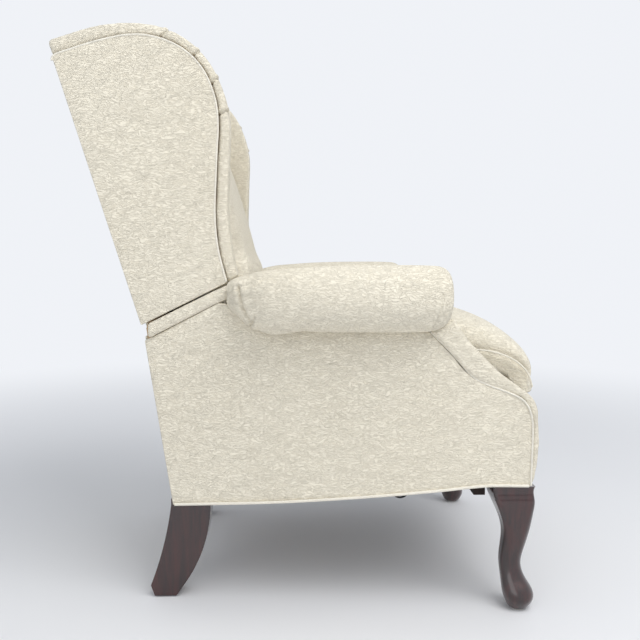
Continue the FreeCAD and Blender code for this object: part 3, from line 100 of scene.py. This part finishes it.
# %% A finish: one Principled shader and the nodes that feed it
class Finish:
    """A material that is built from the object's own coordinates."""

    def __init__(self, name, **constants):
        self.material = bpy.data.materials.new(name)
        self.material.use_nodes = True
        self.tree = self.material.node_tree
        self.shader = self.tree.nodes["Principled BSDF"]
        for socket, constant in constants.items():
            self.shader.inputs[socket.replace("_", " ")].default_value = constant
        coordinates = self.tree.nodes.new("ShaderNodeTexCoord")
        self.place = Value(self, coordinates.outputs["Object"])

    def add(self, kind, settings, *inputs, output=0, **named):
        """Any node: its settings first, then the values or links of its sockets."""
        node = self.tree.nodes.new(kind)
        for key, setting in settings.items():
            setattr(node, key, setting)
        sockets = [socket for socket in node.inputs if socket.enabled]
        for socket, given in zip(sockets, inputs):
            self.feed(socket, given)
        for key, given in named.items():
            self.feed(node.inputs[key.replace("_", " ")], given)
        return Value(self, node.outputs[output])

    def feed(self, socket, given):
        if isinstance(given, Value):
            self.tree.links.new(given.socket, socket)
        else:
            socket.default_value = given

    def stretched(self, x, y, z, where=None):
        """Coordinates scaled along each axis: the object's own, unless others are given."""
        return self.add("ShaderNodeMapping", {}, where or self.place, (0, 0, 0), (0, 0, 0), (x, y, z))

    def noise(self, where, scale, detail=2.0, roughness=0.5, distortion=0.0):
        named = {"Scale": scale, "Detail": detail, "Roughness": roughness, "Distortion": distortion}
        return self.add("ShaderNodeTexNoise", {}, Vector=where, **named)

    def mix(self, share, first, second):
        """Two colours, mixed by a share. The colour sockets come after those of other data types."""
        node = self.tree.nodes.new("ShaderNodeMix")
        node.data_type = "RGBA"
        self.feed(node.inputs["Factor"], share)
        self.feed(node.inputs[6], first)
        self.feed(node.inputs[7], second)
        return Value(self, node.outputs[2])

    def drift(self, noise, reach):
        """The coordinates, pushed about by the colours of a noise by up to half the reach."""
        color = Value(self, noise.socket.node.outputs["Color"])
        centred = self.add("ShaderNodeVectorMath", {"operation": "SUBTRACT"}, color, (0.5, 0.5, 0.5))
        push = self.add("ShaderNodeVectorMath", {"operation": "SCALE"}, Vector=centred, Scale=reach)
        return self.add("ShaderNodeVectorMath", {"operation": "ADD"}, self.place, push)

    def bump(self, height, distance, strength=1.0):
        named = {"Strength": strength, "Distance": distance, "Height": height}
        return self.add("ShaderNodeBump", {}, **named)

    def use(self, **links):
        for socket, value in links.items():
            self.feed(self.shader.inputs[socket.replace("_", " ")], value)
        return self.material


# %% [markdown]
# ## Crinkled chenille
# The cover is a cream chenille whose pile lies in short wavy ridges, each about 10 mm long and
# 2 mm wide, running mostly level. A noise that is squeezed in height and pushed about by a second,
# slower noise gives such ridges on every face without UVs. The valleys are painted a little darker
# and warmer than the crests as painted shade, and a fine speckle stands for the single tufts.


# %% Chenille
RIDGES_PER_M = (95.0, 95.0, 480.0)
TUFTS_PER_M = 1100.0


def chenille(name, crest, valley_shade, relief=0.0011):
    """Cream pile cloth: the colour of its crests and the darker painted shade of the valleys between
    them.
    """
    cloth = Finish(name, Roughness=0.93, Sheen_Weight=0.2, Sheen_Roughness=0.5, Specular_IOR_Level=0.2)
    cloth.shader.inputs["Sheen Tint"].default_value = (1.0, 0.97, 0.9, 1.0)
    sway = cloth.noise(cloth.place, 42.0, detail=1.0)
    moved = cloth.drift(sway, 0.016)
    squeezed = cloth.stretched(*RIDGES_PER_M, where=moved)
    ridges = cloth.noise(squeezed, 1.0, detail=1.0, roughness=0.4, distortion=0.5)
    crests = (ridges - 0.5).absolute().between(0.0, 0.11)
    tufts = cloth.noise(cloth.place, TUFTS_PER_M, detail=1.0)
    patches = cloth.noise(cloth.place, 5.0, detail=3.0)
    height = crests * 0.8 + tufts * 0.3
    tone = crests * 0.4 + patches * 0.5 + tufts * 0.15
    # painted shade: the colour turns to the darker one in the valleys between the ridges; the patches
    # and tufts are the cloth's own uneven tone
    color = cloth.mix(tone.between(0.1, 0.9), valley_shade, crest)
    return cloth.use(Base_Color=color, Normal=cloth.bump(height, relief, 0.8))


# the second colour of each chenille is the painted shade in the valleys of the pile
CREAM = chenille("cream_chenille", (0.86, 0.80, 0.665, 1), (0.745, 0.68, 0.545, 1), relief=0.0015)
PALE = chenille("welt_chenille", (0.85, 0.81, 0.71, 1), (0.77, 0.72, 0.615, 1), relief=0.0006)
print("chenille finishes made")

# %% [markdown]
# ## Legs, frame and mechanism
# The legs are a red-brown mahogany stain under a thick gloss lacquer, so the grain is faint and the
# coat does the shining. The frame inside is plain hardwood, and the mechanism is black steel with
# zinc-plated pins. They keep their CAD solids: their shapes are right, and only the finish is added.


# %% Wood, webbing and metal finishes
def wood(name, dark, light, **constants):
    """Wood with long grain streaks."""
    timber = Finish(name, **constants)
    grain = timber.noise(timber.stretched(90.0, 90.0, 9.0), 1.0, detail=4.0, distortion=0.4)
    pores = timber.noise(timber.stretched(700.0, 700.0, 40.0), 1.0, detail=2.0)
    tone = (grain * 0.75 + pores * 0.25).between(0.32, 0.68)
    color = timber.mix(tone, dark, light)
    return timber.use(Base_Color=color, Normal=timber.bump(grain + pores * 0.5, 0.0003, 0.2))


def steel(name, color, worn, **constants):
    """Painted or plated steel with slight wear."""
    metal = Finish(name, **constants)
    marks = metal.noise(metal.place, 160.0, detail=4.0)
    tone = marks.between(0.55, 0.75)
    dull = marks * 0.25 + 0.25
    return metal.use(Base_Color=metal.mix(tone * 0.35, color, worn), Roughness=dull)


MAHOGANY = wood("mahogany", (0.010, 0.001, 0.001, 1), (0.040, 0.005, 0.004, 1),
                Roughness=0.3, Coat_Weight=1.0, Coat_Roughness=0.04)
# painted shade: the front cross rail is coloured nearly black, so that it sinks into the shade under
# the seat instead of showing as bare wood
SHADE_DARK_RAIL = wood("shade_dark_rail", (0.010, 0.006, 0.005, 1), (0.028, 0.015, 0.011, 1), Roughness=0.8)
FRAME_WOOD = wood("frame_wood", (0.36, 0.23, 0.12, 1), (0.58, 0.42, 0.25, 1), Roughness=0.75)
BLACK_STEEL = steel("black_steel", (0.012, 0.012, 0.013, 1), (0.05, 0.05, 0.05, 1), Metallic=0.3)
ZINC = steel("zinc_steel", (0.50, 0.50, 0.50, 1), (0.36, 0.35, 0.33, 1), Metallic=1.0)
SPRING_STEEL = steel("spring_steel", (0.02, 0.02, 0.022, 1), (0.12, 0.11, 0.10, 1), Metallic=0.6)

STRANDS = 110.0
web = Finish("elastic_webbing", Roughness=0.9)
warp = web.add("ShaderNodeTexWave", {"bands_direction": "X"}, Vector=web.place, Scale=STRANDS)
weft = web.add("ShaderNodeTexWave", {"bands_direction": "Y"}, Vector=web.place, Scale=STRANDS)
weave = warp * weft
WEBBING = web.use(Base_Color=web.mix(weave, (0.015, 0.015, 0.016, 1), (0.11, 0.10, 0.09, 1)),
                  Normal=web.bump(weave, 0.0006, 0.6))

nylon = Finish("nylon", Roughness=0.5)
speck = nylon.noise(nylon.place, 300.0)
NYLON = nylon.use(Base_Color=nylon.mix(speck, (0.46, 0.45, 0.41, 1), (0.54, 0.53, 0.49, 1)))

# %% Give each kept CAD node its finish
FINISH_OF_SLOT = {
    "mahogany": MAHOGANY,
    "frame_wood": FRAME_WOOD,
    "webbing": WEBBING,
    "dark_steel": BLACK_STEEL,
    "bright_steel": ZINC,
    "nylon": NYLON,
    "cream_chenille": CREAM,
}
# the front cross rail gets the nearly black painted-shade finish
FINISH_OF_NODE = {"return_springs": SPRING_STEEL, "front_cross_rail": SHADE_DARK_RAIL}
slot_of = {row["node"]: row["material_slot"] for row in frame["record"]["subparts"]}
for node, shape in nodes.items():
    finish = FINISH_OF_NODE.get(node, FINISH_OF_SLOT[slot_of[node]])
    if not shape.material_slots:
        shape.data.materials.append(finish)
    for held in shape.material_slots:
        held.material = finish
print("finished nodes:", len(nodes))

# %% [markdown]
# ## From a solid to upholstery
# A CAD solid of a pad has the right size but knife-sharp edges. Its triangles are merged and voxel
# remeshed to an even grid of quads, which vertex smoothing can then round off as foam would be.
# The grid is also what cloth simulation and every later fold or groove needs.


# %% Copy a padded node as an even grid
@contextmanager
def skin_of(piece):
    """The mesh of a piece, open for editing and written back afterwards."""
    skin = bmesh.new()
    skin.from_mesh(piece.data)
    yield skin
    skin.to_mesh(piece.data)
    skin.free()


def applied(piece):
    """Bake the modifiers of a piece into its mesh."""
    graph = bpy.context.evaluated_depsgraph_get()
    mesh = bpy.data.meshes.new_from_object(piece.evaluated_get(graph))
    piece.modifiers.clear()
    piece.data = mesh


def new_piece(name, mesh):
    piece = bpy.data.objects.new(name, mesh)
    scene.collection.objects.link(piece)
    return piece


def merged_copy(node, name):
    """A copy of a CAD node whose loose triangles are joined into one skin."""
    skin = bmesh.new()
    skin.from_mesh(nodes[node].data)
    bmesh.ops.remove_doubles(skin, verts=skin.verts, dist=2e-6)
    mesh = bpy.data.meshes.new(name)
    skin.to_mesh(mesh)
    skin.free()
    return new_piece(name, mesh)


def cushion_copy(node, name, voxel, rounds):
    """A padded node as an even grid with eased edges."""
    piece = merged_copy(node, name)
    grid = piece.modifiers.new("even_grid", "REMESH")
    grid.mode = "VOXEL"
    grid.voxel_size = voxel
    applied(piece)
    ease(piece, rounds)
    return piece


def ease(piece, rounds):
    """Round the edges by moving each vertex towards its neighbours."""
    with skin_of(piece) as skin:
        for _ in range(rounds):
            bmesh.ops.smooth_vert(skin, verts=skin.verts, factor=0.5, use_axis_x=True,
                                  use_axis_y=True, use_axis_z=True)


def cover(piece, finish, body):
    """Smooth shading and a finish for a piece that rides on a body."""
    piece.data.materials.clear()
    piece.data.materials.append(finish)
    piece.data.shade_smooth()
    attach(piece, body)
    print(f"{piece.name}: {len(piece.data.vertices)} vertices")


def dress(piece, node):
    """Cover a padded piece in place of its CAD node, on the node's body."""
    cover(piece, CREAM, body_of[node])
    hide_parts(node)


# %% [markdown]
# ## Moving vertices by a rule
# Pleats, gathers and grooves are made by moving the grid's vertices along their normals. The grid is
# first refined only where the fold lies, so the piece stays light.


# %% Fold and refine helpers
def refine(piece, near):
    """Halve the edges whose middle lies where near() says so."""
    with skin_of(piece) as skin:
        edges = [edge for edge in skin.edges if near((edge.verts[0].co + edge.verts[1].co) / 2)]
        bmesh.ops.subdivide_edges(skin, edges=edges, cuts=1, use_grid_fill=True)


def nudge(piece, move_at):
    """Move each vertex by the vector that move_at(place, normal) gives."""
    with skin_of(piece) as skin:
        skin.normal_update()
        moves = [(vertex, move_at(vertex.co, vertex.normal)) for vertex in skin.verts]
        for vertex, move in moves:
            vertex.co += move


def press(piece, depth_at):
    """Move each vertex along its normal by the length that depth_at(place, normal) gives."""
    nudge(piece, lambda place, normal: normal * depth_at(place, normal))


def ramp(value, low, high):
    """0 below low, 1 above high, smooth between; low may be the larger."""
    share = max(0.0, min(1.0, (value - low) / (high - low)))
    return share * share * (3 - 2 * share)


def hump(distance, width):
    """A bell curve: 1 on the line, falling to nothing a few widths away."""
    return math.exp(-((distance / width) ** 2))


def to_line(place, points):
    """Distance in the side view from a place to a run of (y, z) points."""
    best = 1.0
    here = Vector((place.y, place.z))
    for start, stop in zip(points, points[1:]):
        a, b = Vector(start), Vector(stop)
        along = b - a
        share = max(0.0, min(1.0, (here - a).dot(along) / along.length_squared))
        best = min(best, (here - a - along * share).length)
    return best


# %% [markdown]
# ## Foam under pressure
# Foam fills its cover until the cloth is tight, so the big cushions are blown up a little with
# Blender's cloth solver: pressure inside, no gravity, a cap on how far any point moves, and no
# movement where the cushion lies on its deck. The grid is coarse while it is simulated, which keeps
# the solver quick, and the result is kept as plain mesh.


# %% Blow up a cushion
STEPS = 20


def swell(piece, cap, half_width, still):
    """Let cloth with pressure inside round the piece off, moving no point further than the cap."""
    start = [vertex.co.copy() for vertex in piece.data.vertices]
    normals = [vertex.normal.copy() for vertex in piece.data.vertices]
    cloth = piece.modifiers.new("foam", "CLOTH")
    settings = cloth.settings
    settings.quality = 4
    settings.mass = 0.3
    settings.tension_stiffness = 12
    settings.compression_stiffness = 12
    settings.shear_stiffness = 6
    settings.bending_stiffness = 1.5
    settings.use_pressure = True
    settings.uniform_pressure_force = 4.0
    settings.effector_weights.gravity = 0
    cloth.point_cache.frame_start = 1
    cloth.point_cache.frame_end = STEPS
    for step in range(1, STEPS + 1):
        scene.frame_set(step)
    applied(piece)
    scene.frame_set(1)
    for vertex, place, normal in zip(piece.data.vertices, start, normals):
        move = vertex.co - place
        if still(place, normal):
            move = Vector()
        if move.length > cap:
            move *= cap / move.length
        vertex.co = place + move
        vertex.co.x = max(-half_width, min(half_width, vertex.co.x))
    ease(piece, 1)


def subdivided(piece):
    """One round of smooth subdivision, so that folds have room."""
    finer = piece.modifiers.new("finer", "SUBSURF")
    finer.levels = 1
    finer.render_levels = 1
    applied(piece)


# %% [markdown]
# ## Welts
# A welt is a cord in a strip of the cover, sewn into a seam. Each is a tube on a smooth curve that
# follows the seam, sunk to about half its thickness into the pads beside it.


# %% Welt helper
def welt(name, points, radius, body):
    """A sewn-in cord through the given points."""
    curve = bpy.data.curves.new(name, "CURVE")
    curve.dimensions = "3D"
    curve.bevel_depth = radius
    curve.bevel_resolution = 3
    curve.use_fill_caps = True
    curve.resolution_u = 8
    line = curve.splines.new("NURBS")
    line.points.add(len(points) - 1)
    for knot, point in zip(line.points, points):
        knot.co = (*point, 1.0)
    line.order_u = 3
    line.use_endpoint_u = True
    drawn = bpy.data.objects.new(name + "_line", curve)
    scene.collection.objects.link(drawn)
    graph = bpy.context.evaluated_depsgraph_get()
    mesh = bpy.data.meshes.new_from_object(drawn.evaluated_get(graph))
    bpy.data.objects.remove(drawn)
    piece = new_piece(name, mesh)
    cover(piece, PALE, body)
    return piece


# %% [markdown]
# ## Covered panels
# The outsides of the chair are boards with the cover drawn over them. A remesh would need a very
# fine grid to hold a 5 mm board, so the board's own faces are kept: the edges get a small bevel,
# the faces are cut into a grid by planes, and a thin padding lifts their middle by 2 or 3 mm.


# %% Covered panel helper
PANEL_GRID = 0.025
PANEL_EDGE = 0.0022
X, Y = 0, 1


def cut_into_grid(skin, low, high, axis):
    """Cut the faces by planes across the axis that is given, about one grid step apart."""
    normal = Vector([1.0 if i == axis else 0.0 for i in range(3)])
    count = int((high[axis] - low[axis]) / PANEL_GRID)
    for index in range(1, count):
        spot = low.copy()
        spot[axis] += (high[axis] - low[axis]) * index / count
        geometry = skin.verts[:] + skin.edges[:] + skin.faces[:]
        bmesh.ops.bisect_plane(skin, geom=geometry, plane_co=spot, plane_no=normal)


def panel(node, name, axis, crown):
    """A board under cloth: rounded edges and a slight crown along the axis it faces."""
    piece = merged_copy(node, name)
    others = [i for i in range(3) if i != axis]
    with skin_of(piece) as skin:
        bmesh.ops.dissolve_limit(skin, angle_limit=math.radians(2), verts=skin.verts,
                                 edges=skin.edges)
        sharp = [edge for edge in skin.edges if edge.is_manifold and edge.calc_face_angle(0) > 0.6]
        bmesh.ops.bevel(skin, geom=sharp, offset=PANEL_EDGE, segments=3, profile=0.5,
                        affect="EDGES", material=-1)
        low = Vector([min(vertex.co[i] for vertex in skin.verts) for i in range(3)])
        high = Vector([max(vertex.co[i] for vertex in skin.verts) for i in range(3)])
        for across in others:
            cut_into_grid(skin, low, high, across)
        skin.normal_update()
        middle = (low + high) / 2
        for vertex in skin.verts:
            share = 1.0
            for i in others:
                reach = abs(vertex.co[i] - middle[i]) / ((high[i] - low[i]) / 2)
                share *= max(0.0, 1 - reach ** 4)
            facing = vertex.normal[axis]
            if abs(facing) > 0.8 and crown * facing > 0:
                vertex.co[axis] += crown * share
    cover(piece, CREAM, body_of[node])
    piece.data.set_sharp_from_angle(angle=math.radians(50))
    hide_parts(node)


# %% [markdown]
# ## Wings
# Each wing has a flat outside panel, a welt round its seam, and a padded inside whose edge rolls out
# past the panel. Where the roll turns the top corner its cover is too long, so the upholsterer takes
# it up in four small pleats. The chair is the same on both sides, so a loop makes both.

# %% Places on the raked back, as (depth ahead of the rear face, height along it)
SIDES = (("right", -1), ("left", 1))
BACK_FOOT = Vector((0.309, 0.546))
RAKE = math.radians(17.0)


def raked(w, u):
    """(y, z) of a place in the back's own frame."""
    y = BACK_FOOT.x - w * math.cos(RAKE) + u * math.sin(RAKE)
    z = BACK_FOOT.y + w * math.sin(RAKE) + u * math.cos(RAKE)
    return y, z


WING_SEAM = [(-0.0015, 0.500), (-0.001, 0.5085), (0.035, 0.509), (0.070, 0.5095), (0.102, 0.5085),
             (0.133, 0.5054), (0.155, 0.5005), (0.175, 0.4932), (0.205, 0.4755), (0.231, 0.4500),
             (0.246, 0.4245), (0.2545, 0.398), (0.257, 0.372), (0.2568, 0.350), (0.2539, 0.330),
             (0.246, 0.300), (0.2331, 0.268), (0.215, 0.218), (0.1966, 0.1678), (0.187, 0.134),
             (0.1804, 0.1027), (0.1768, 0.066), (0.176, 0.031)]
seam_yz = [raked(w, u) for w, u in WING_SEAM]
WING_SEAM_X = 0.2845
# each pleat runs from the seam out over the roll, as two (w, u) places
PLEATS = [((0.196, 0.485), (0.224, 0.499)), ((0.238, 0.436), (0.268, 0.448)),
          ((0.254, 0.379), (0.284, 0.393)), ((0.251, 0.3245), (0.284, 0.329))]
FOLDS = [[raked(*start), raked(*stop)] for start, stop in PLEATS]


def near_fold(place):
    return min(to_line(place, fold) for fold in FOLDS) < 0.011


def pleat_depth(place, normal):
    """A sharp groove with the cloth lapped up beside it on the upper side."""
    distance = min(to_line(place, fold) for fold in FOLDS)
    beside = Vector((0, place.y - 0.003, place.z - 0.004))
    lap = min(to_line(beside, fold) for fold in FOLDS)
    outside = ramp(abs(place.x), 0.250, 0.262)
    return outside * (0.0024 * hump(lap, 0.0035) - 0.0050 * hump(distance, 0.0020))


# %% Make both wings
for side, sign in SIDES:
    pad = cushion_copy(f"wing_pad_{side}", f"wing_padding_{side}", voxel=0.0042, rounds=3)
    refine(pad, near_fold)
    press(pad, pleat_depth)
    dress(pad, f"wing_pad_{side}")
    panel(f"wing_outside_panel_{side}", f"wing_cover_{side}", X, sign * 0.0025)
    line = [(sign * WING_SEAM_X, y, z) for y, z in seam_yz]
    welt(f"wing_welt_{side}", line, 0.0021, "back")

# %% [markdown]
# ## Arms
# An arm is a panelled box with a round bolster on top. The bolster's cover is gathered where it runs
# out under the wing, and a dart takes it in just behind its front end. The front of the arm is a
# padded band that starts under the bolster and sweeps down to the leg, edged by a welt on each side.

# %% Arm seams
ARM_FRONT = -0.417
ARM_HALF_FRONT = 0.325
TAPER = 0.045 / 0.674
FRONT_SEAM = [(-0.417, 0.247), (-0.4175, 0.300), (-0.418, 0.350), (-0.4165, 0.376), (-0.408, 0.400),
              (-0.393, 0.414), (-0.367, 0.425), (-0.333, 0.437), (-0.309, 0.449), (-0.293, 0.465),
              (-0.273, 0.489), (-0.255, 0.508), (-0.242, 0.5205), (-0.228, 0.535)]


def arm_outside(y):
    """How far out the arm's outside face stands at a depth."""
    return ARM_HALF_FRONT - TAPER * (y - ARM_FRONT)


# %% Arm panels, bands and inside padding
for side, sign in SIDES:
    panel(f"arm_outside_panel_{side}", f"arm_cover_{side}", X, sign * 0.0025)
    band = cushion_copy(f"arm_front_band_{side}", f"arm_front_padding_{side}", voxel=0.0036, rounds=3)
    dress(band, f"arm_front_band_{side}")
    inner = cushion_copy(f"arm_inside_pad_{side}", f"arm_inside_padding_{side}", voxel=0.004, rounds=2)
    dress(inner, f"arm_inside_pad_{side}")
    seam = [(sign * (arm_outside(y) + 0.0002), y, z) for y, z in FRONT_SEAM]
    welt(f"arm_front_welt_{side}", seam, 0.0022, "base")

# %% [markdown]
# The bolster is pressed with a rule round its own axis: shallow waves that deepen towards the rear,
# where the cover is pulled together, and one narrow line for the dart.

# %% Arm rolls
ROLL_X = 0.303
ROLL_Z = 0.602
DART_Y = -0.231
GATHER = [(0.124, 0.618), (0.121, 0.600), (0.117, 0.583), (0.108, 0.564), (0.100, 0.552)]
TUCK = [(0.108, 0.545), (0.099, 0.553), (0.094, 0.565)]
DART = [(-0.225, 0.548), (-0.232, 0.580), (-0.237, 0.608)]


def gathered(place, normal):
    """Waves round the roll that deepen towards its rear end."""
    share = ramp(place.y, 0.055, 0.135)
    angle = math.atan2(place.z - ROLL_Z, abs(place.x) - ROLL_X)
    waves = abs(math.sin(4.5 * angle + 0.6 * math.sin(2 * angle))) ** 0.6 - 0.75
    return 0.0030 * share * waves


def creased(place, normal):
    """The fold where the cover is tied in under the wing, and the dart behind the front end."""
    if abs(place.x) < 0.30:
        return 0.0
    fold = to_line(place, GATHER)
    tuck = to_line(place, TUCK)
    depth = -0.0055 * hump(fold, 0.0024) + 0.0030 * hump(fold - 0.008, 0.006)
    depth -= 0.0035 * hump(tuck, 0.0022)
    return depth - 0.0020 * hump(to_line(place, DART), 0.0013)


def tucked(place, normal):
    """The rear underside hangs down to the top of the arm panel."""
    share = ramp(place.y, 0.0, 0.075) * ramp(normal.z, 0.35, -0.5) * ramp(abs(place.x), 0.262, 0.275)
    return Vector((0, 0, -0.013 * share))


def at_the_ends(place):
    return place.y > 0.055 or abs(place.y - DART_Y) < 0.012


for side, _ in SIDES:
    roll = cushion_copy(f"arm_roll_{side}", f"arm_bolster_{side}", voxel=0.0042, rounds=4)
    refine(roll, at_the_ends)
    nudge(roll, tucked)
    press(roll, gathered)
    press(roll, creased)
    dress(roll, f"arm_roll_{side}")

# %% [markdown]
# Under each wing the arm's top edge slopes down to the rear. It is a thin strip of padding folded
# over a board, so its face is rolled and puckered. One node holds both sides, and its front end is
# drawn out until it meets the bolster.

# %% Sloped bands under the wings
SLOPE_FRONT_TO_REAR = 0.142
SLOPE_HALF_HEIGHT = 0.0145
slope = cushion_copy("arm_rear_bands", "arm_slope_padding", voxel=0.0032, rounds=2)


def slope_share(place):
    """How far along the slope from the rear a place lies, 0 to 1, and its height on the band."""
    along = (0.300 - place.y) / SLOPE_FRONT_TO_REAR
    middle = BACK_FOOT.y + (BACK_FOOT.x - place.y) * 0.492 - 0.017
    return along, (place.z - middle) / SLOPE_HALF_HEIGHT


def scrunched(place, normal):
    """A rolled edge with small slanting puckers."""
    along, height = slope_share(place)
    crown = max(0.0, 1 - height * height)
    pucker = math.sin(along * 38 + height * 1.3) * max(0.0, 1 - abs(along - 0.45) / 0.4)
    return (0.0026 * crown + 0.0007 * pucker * crown) * abs(normal.x)


def stretched_forward(place, normal):
    """The front end runs on until it meets the arm roll."""
    share = ramp(place.y, 0.176, 0.158) * ramp(abs(place.x), 0.262, 0.270)
    return Vector((0, -0.013 * share, 0.005 * share))


press(slope, scrunched)
nudge(slope, stretched_forward)
dress(slope, "arm_rear_bands")

# %% [markdown]
# ## Seat, back and footrest
# All three are foam in a cover and are simulated. The seat cushion wraps over its front edge and has
# a seam along each side, which is pressed in and filled with a thin welt.

# %% Seat cushion
seat = cushion_copy("seat_cushion", "seat_padding", voxel=0.008, rounds=3)
DECK = 0.4335
swell(seat, cap=0.012, half_width=0.2535,
      still=lambda place, normal: place.z < DECK and normal.z < -0.4)
subdivided(seat)
SIDE_SEAM = [(0.100, 0.490), (0.000, 0.496), (-0.120, 0.499), (-0.227, 0.498), (-0.300, 0.4955),
             (-0.335, 0.493), (-0.360, 0.490), (-0.385, 0.482), (-0.405, 0.472), (-0.423, 0.457),
             (-0.434, 0.440), (-0.439, 0.420)]


def boxed(place, normal):
    """The groove of the side seam."""
    on_side = max(0.0, min(1.0, (abs(place.x) - 0.225) / 0.02))
    return -0.0035 * on_side * hump(to_line(place, SIDE_SEAM), 0.006)


def hanging_side(place, normal):
    """The side's lower edge hangs a little beside the footrest links, down to the arm's front."""
    share = ramp(abs(place.x), 0.2465, 0.2495)
    share *= ramp(place.z, 0.470, 0.440) * ramp(place.y, -0.320, -0.370)
    return Vector((0, 0, -0.014 * share))


nudge(seat, hanging_side)
press(seat, boxed)
dress(seat, "seat_cushion")
for side, sign in SIDES:
    welt(f"seat_welt_{side}", [(sign * 0.2512, y, z) for y, z in SIDE_SEAM], 0.0017, "seat")

# %% [markdown]
# The back cushion is one full pillow between the wings. Its rear lies on the webbing and stays flat,
# while the front swells.

# %% Back cushion
pillow = cushion_copy("back_cushion", "back_padding", voxel=0.008, rounds=3)
REAR = Vector((0, math.cos(RAKE), -math.sin(RAKE)))
swell(pillow, cap=0.012, half_width=0.2372, still=lambda place, normal: normal.dot(REAR) > 0.6)
subdivided(pillow)
dress(pillow, "back_cushion")

# %% [markdown]
# The footrest pad is a flat foam slab on a board. It swells least, as it has to fold away under the
# seat.

# %% Footrest pad
foot = cushion_copy("footrest_pad", "footrest_padding", voxel=0.006, rounds=3)
swell(foot, cap=0.004, half_width=0.2485, still=lambda place, normal: normal.y > 0.6)
dress(foot, "footrest_pad")

# %% [markdown]
# ## Rear panels and hem
# The back of the chair is two covered boards, one on the reclining back and one on the base, so that
# the cover parts where the chair moves.

# %% Rear panels
panel("back_outside_panel", "back_rear_cover", Y, 0.003)
panel("base_back_panel", "base_rear_cover", Y, 0.003)

# %% [markdown]
# The hem along the bottom of each arm is finished with a thicker welt. One CAD node holds both
# cords, so it is hidden only once.

# %% Hem welts
HEM = [(-0.4125, 0.2472), (-0.372, 0.2472), (-0.330, 0.2466), (-0.235, 0.234), (-0.140, 0.2245),
       (-0.040, 0.216), (0.060, 0.2092), (0.155, 0.2058), (0.253, 0.2028)]
for side, sign in SIDES:
    line = [(sign * (arm_outside(y) + 0.0026), y, z) for y, z in HEM]
    cord = welt(f"hem_welt_{side}", line, 0.0028, "base")
    if side == "right":
        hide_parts("hem_welts")

# %% [markdown]
# ## Stage, light and camera
# The chair stands on a pale floor in a pale room. The floor fades into the room's colour with
# distance. A large soft lamp above and in front models the folds, and a weaker one stands at the
# sitter's right, a little to the rear.

# %% Floor
floor_skin = bmesh.new()
bmesh.ops.create_grid(floor_skin, x_segments=1, y_segments=1, size=12.0)
floor_mesh = bpy.data.meshes.new("floor")
floor_skin.to_mesh(floor_mesh)
floor_skin.free()
floor = new_piece("floor", floor_mesh)
ROOM = (0.87, 0.89, 0.93, 1)
ground = Finish("pale_floor", Roughness=0.8)
cloudy = ground.noise(ground.place, 0.8, detail=2.0)
ground.use(Base_Color=ground.mix(cloudy, (0.80, 0.80, 0.81, 1), (0.84, 0.84, 0.85, 1)))
# far from the chair the camera sees the room's colour, so that no horizon line shows
distance = ground.add("ShaderNodeVectorMath", {"operation": "LENGTH"}, ground.place, output="Value")
seen_by_camera = ground.add("ShaderNodeLightPath", {}, output="Is Camera Ray")
glow = ground.add("ShaderNodeEmission", {}, ROOM, 1.0)
shaded = Value(ground, ground.shader.outputs["BSDF"])
faded = ground.add("ShaderNodeMixShader", {}, distance.between(0.9, 3.2) * seen_by_camera, shaded, glow)
ground.feed(ground.tree.nodes["Material Output"].inputs["Surface"], faded)
floor.data.materials.append(ground.material)


# %% Lamps and world
def lamp(name, place, target, size, watts):
    """A soft rectangular lamp that points at a place."""
    light = bpy.data.lights.new(name, "AREA")
    light.shape = "SQUARE"
    light.size = size
    light.energy = watts
    holder = bpy.data.objects.new(name, light)
    holder.location = place
    aim = Vector(target) - Vector(place)
    holder.rotation_euler = aim.to_track_quat("-Z", "Y").to_euler()
    scene.collection.objects.link(holder)
    return holder


lamp("key", (-1.5, -1.2, 2.9), (0, 0, 0.5), 2.2, 60)
lamp("fill", (-2.8, 1.0, 1.3), (0, 0, 0.6), 2.4, 17)

world = bpy.data.worlds.new("pale_room")
scene.world = world
world.use_nodes = True
sky = world.node_tree
backdrop = sky.nodes["Background"]
backdrop.inputs["Color"].default_value = (0.90, 0.94, 1.0, 1)
backdrop.inputs["Strength"].default_value = 0.60
seen = sky.nodes.new("ShaderNodeBackground")
seen.inputs["Color"].default_value = ROOM
seen.inputs["Strength"].default_value = 1.0
path = sky.nodes.new("ShaderNodeLightPath")
either = sky.nodes.new("ShaderNodeMath")
either.operation = "MAXIMUM"
sky.links.new(path.outputs["Is Camera Ray"], either.inputs[0])
sky.links.new(path.outputs["Is Glossy Ray"], either.inputs[1])
blend = sky.nodes.new("ShaderNodeMixShader")
sky.links.new(either.outputs[0], blend.inputs["Fac"])
sky.links.new(backdrop.outputs[0], blend.inputs[1])
sky.links.new(seen.outputs[0], blend.inputs[2])
sky.links.new(blend.outputs[0], sky.nodes["World Output"].inputs["Surface"])
scene.view_settings.view_transform = "Standard"

# %% [markdown]
# The camera stands at the sitter's right, about 1.6 m off and a little above the arm. Its place,
# turn and focal length come from fitting the chair's outline in the photograph.

# %% Camera
FOCAL_PX = 718
PICTURE_PX = 640
SENSOR_MM = 36.0
PITCH = math.radians(5.212)
YAW = math.radians(-1.629)
heading = Vector((math.cos(PITCH) * math.cos(YAW), math.cos(PITCH) * math.sin(YAW), -math.sin(PITCH)))
eye = bpy.data.cameras.new("photograph")
eye.sensor_width = SENSOR_MM
eye.lens = SENSOR_MM * FOCAL_PX / PICTURE_PX
camera = bpy.data.objects.new("photograph", eye)
camera.location = (-1.621, 0.014, 0.677)
camera.rotation_euler = heading.to_track_quat("-Z", "Y").to_euler()
scene.collection.objects.link(camera)
scene.camera = camera
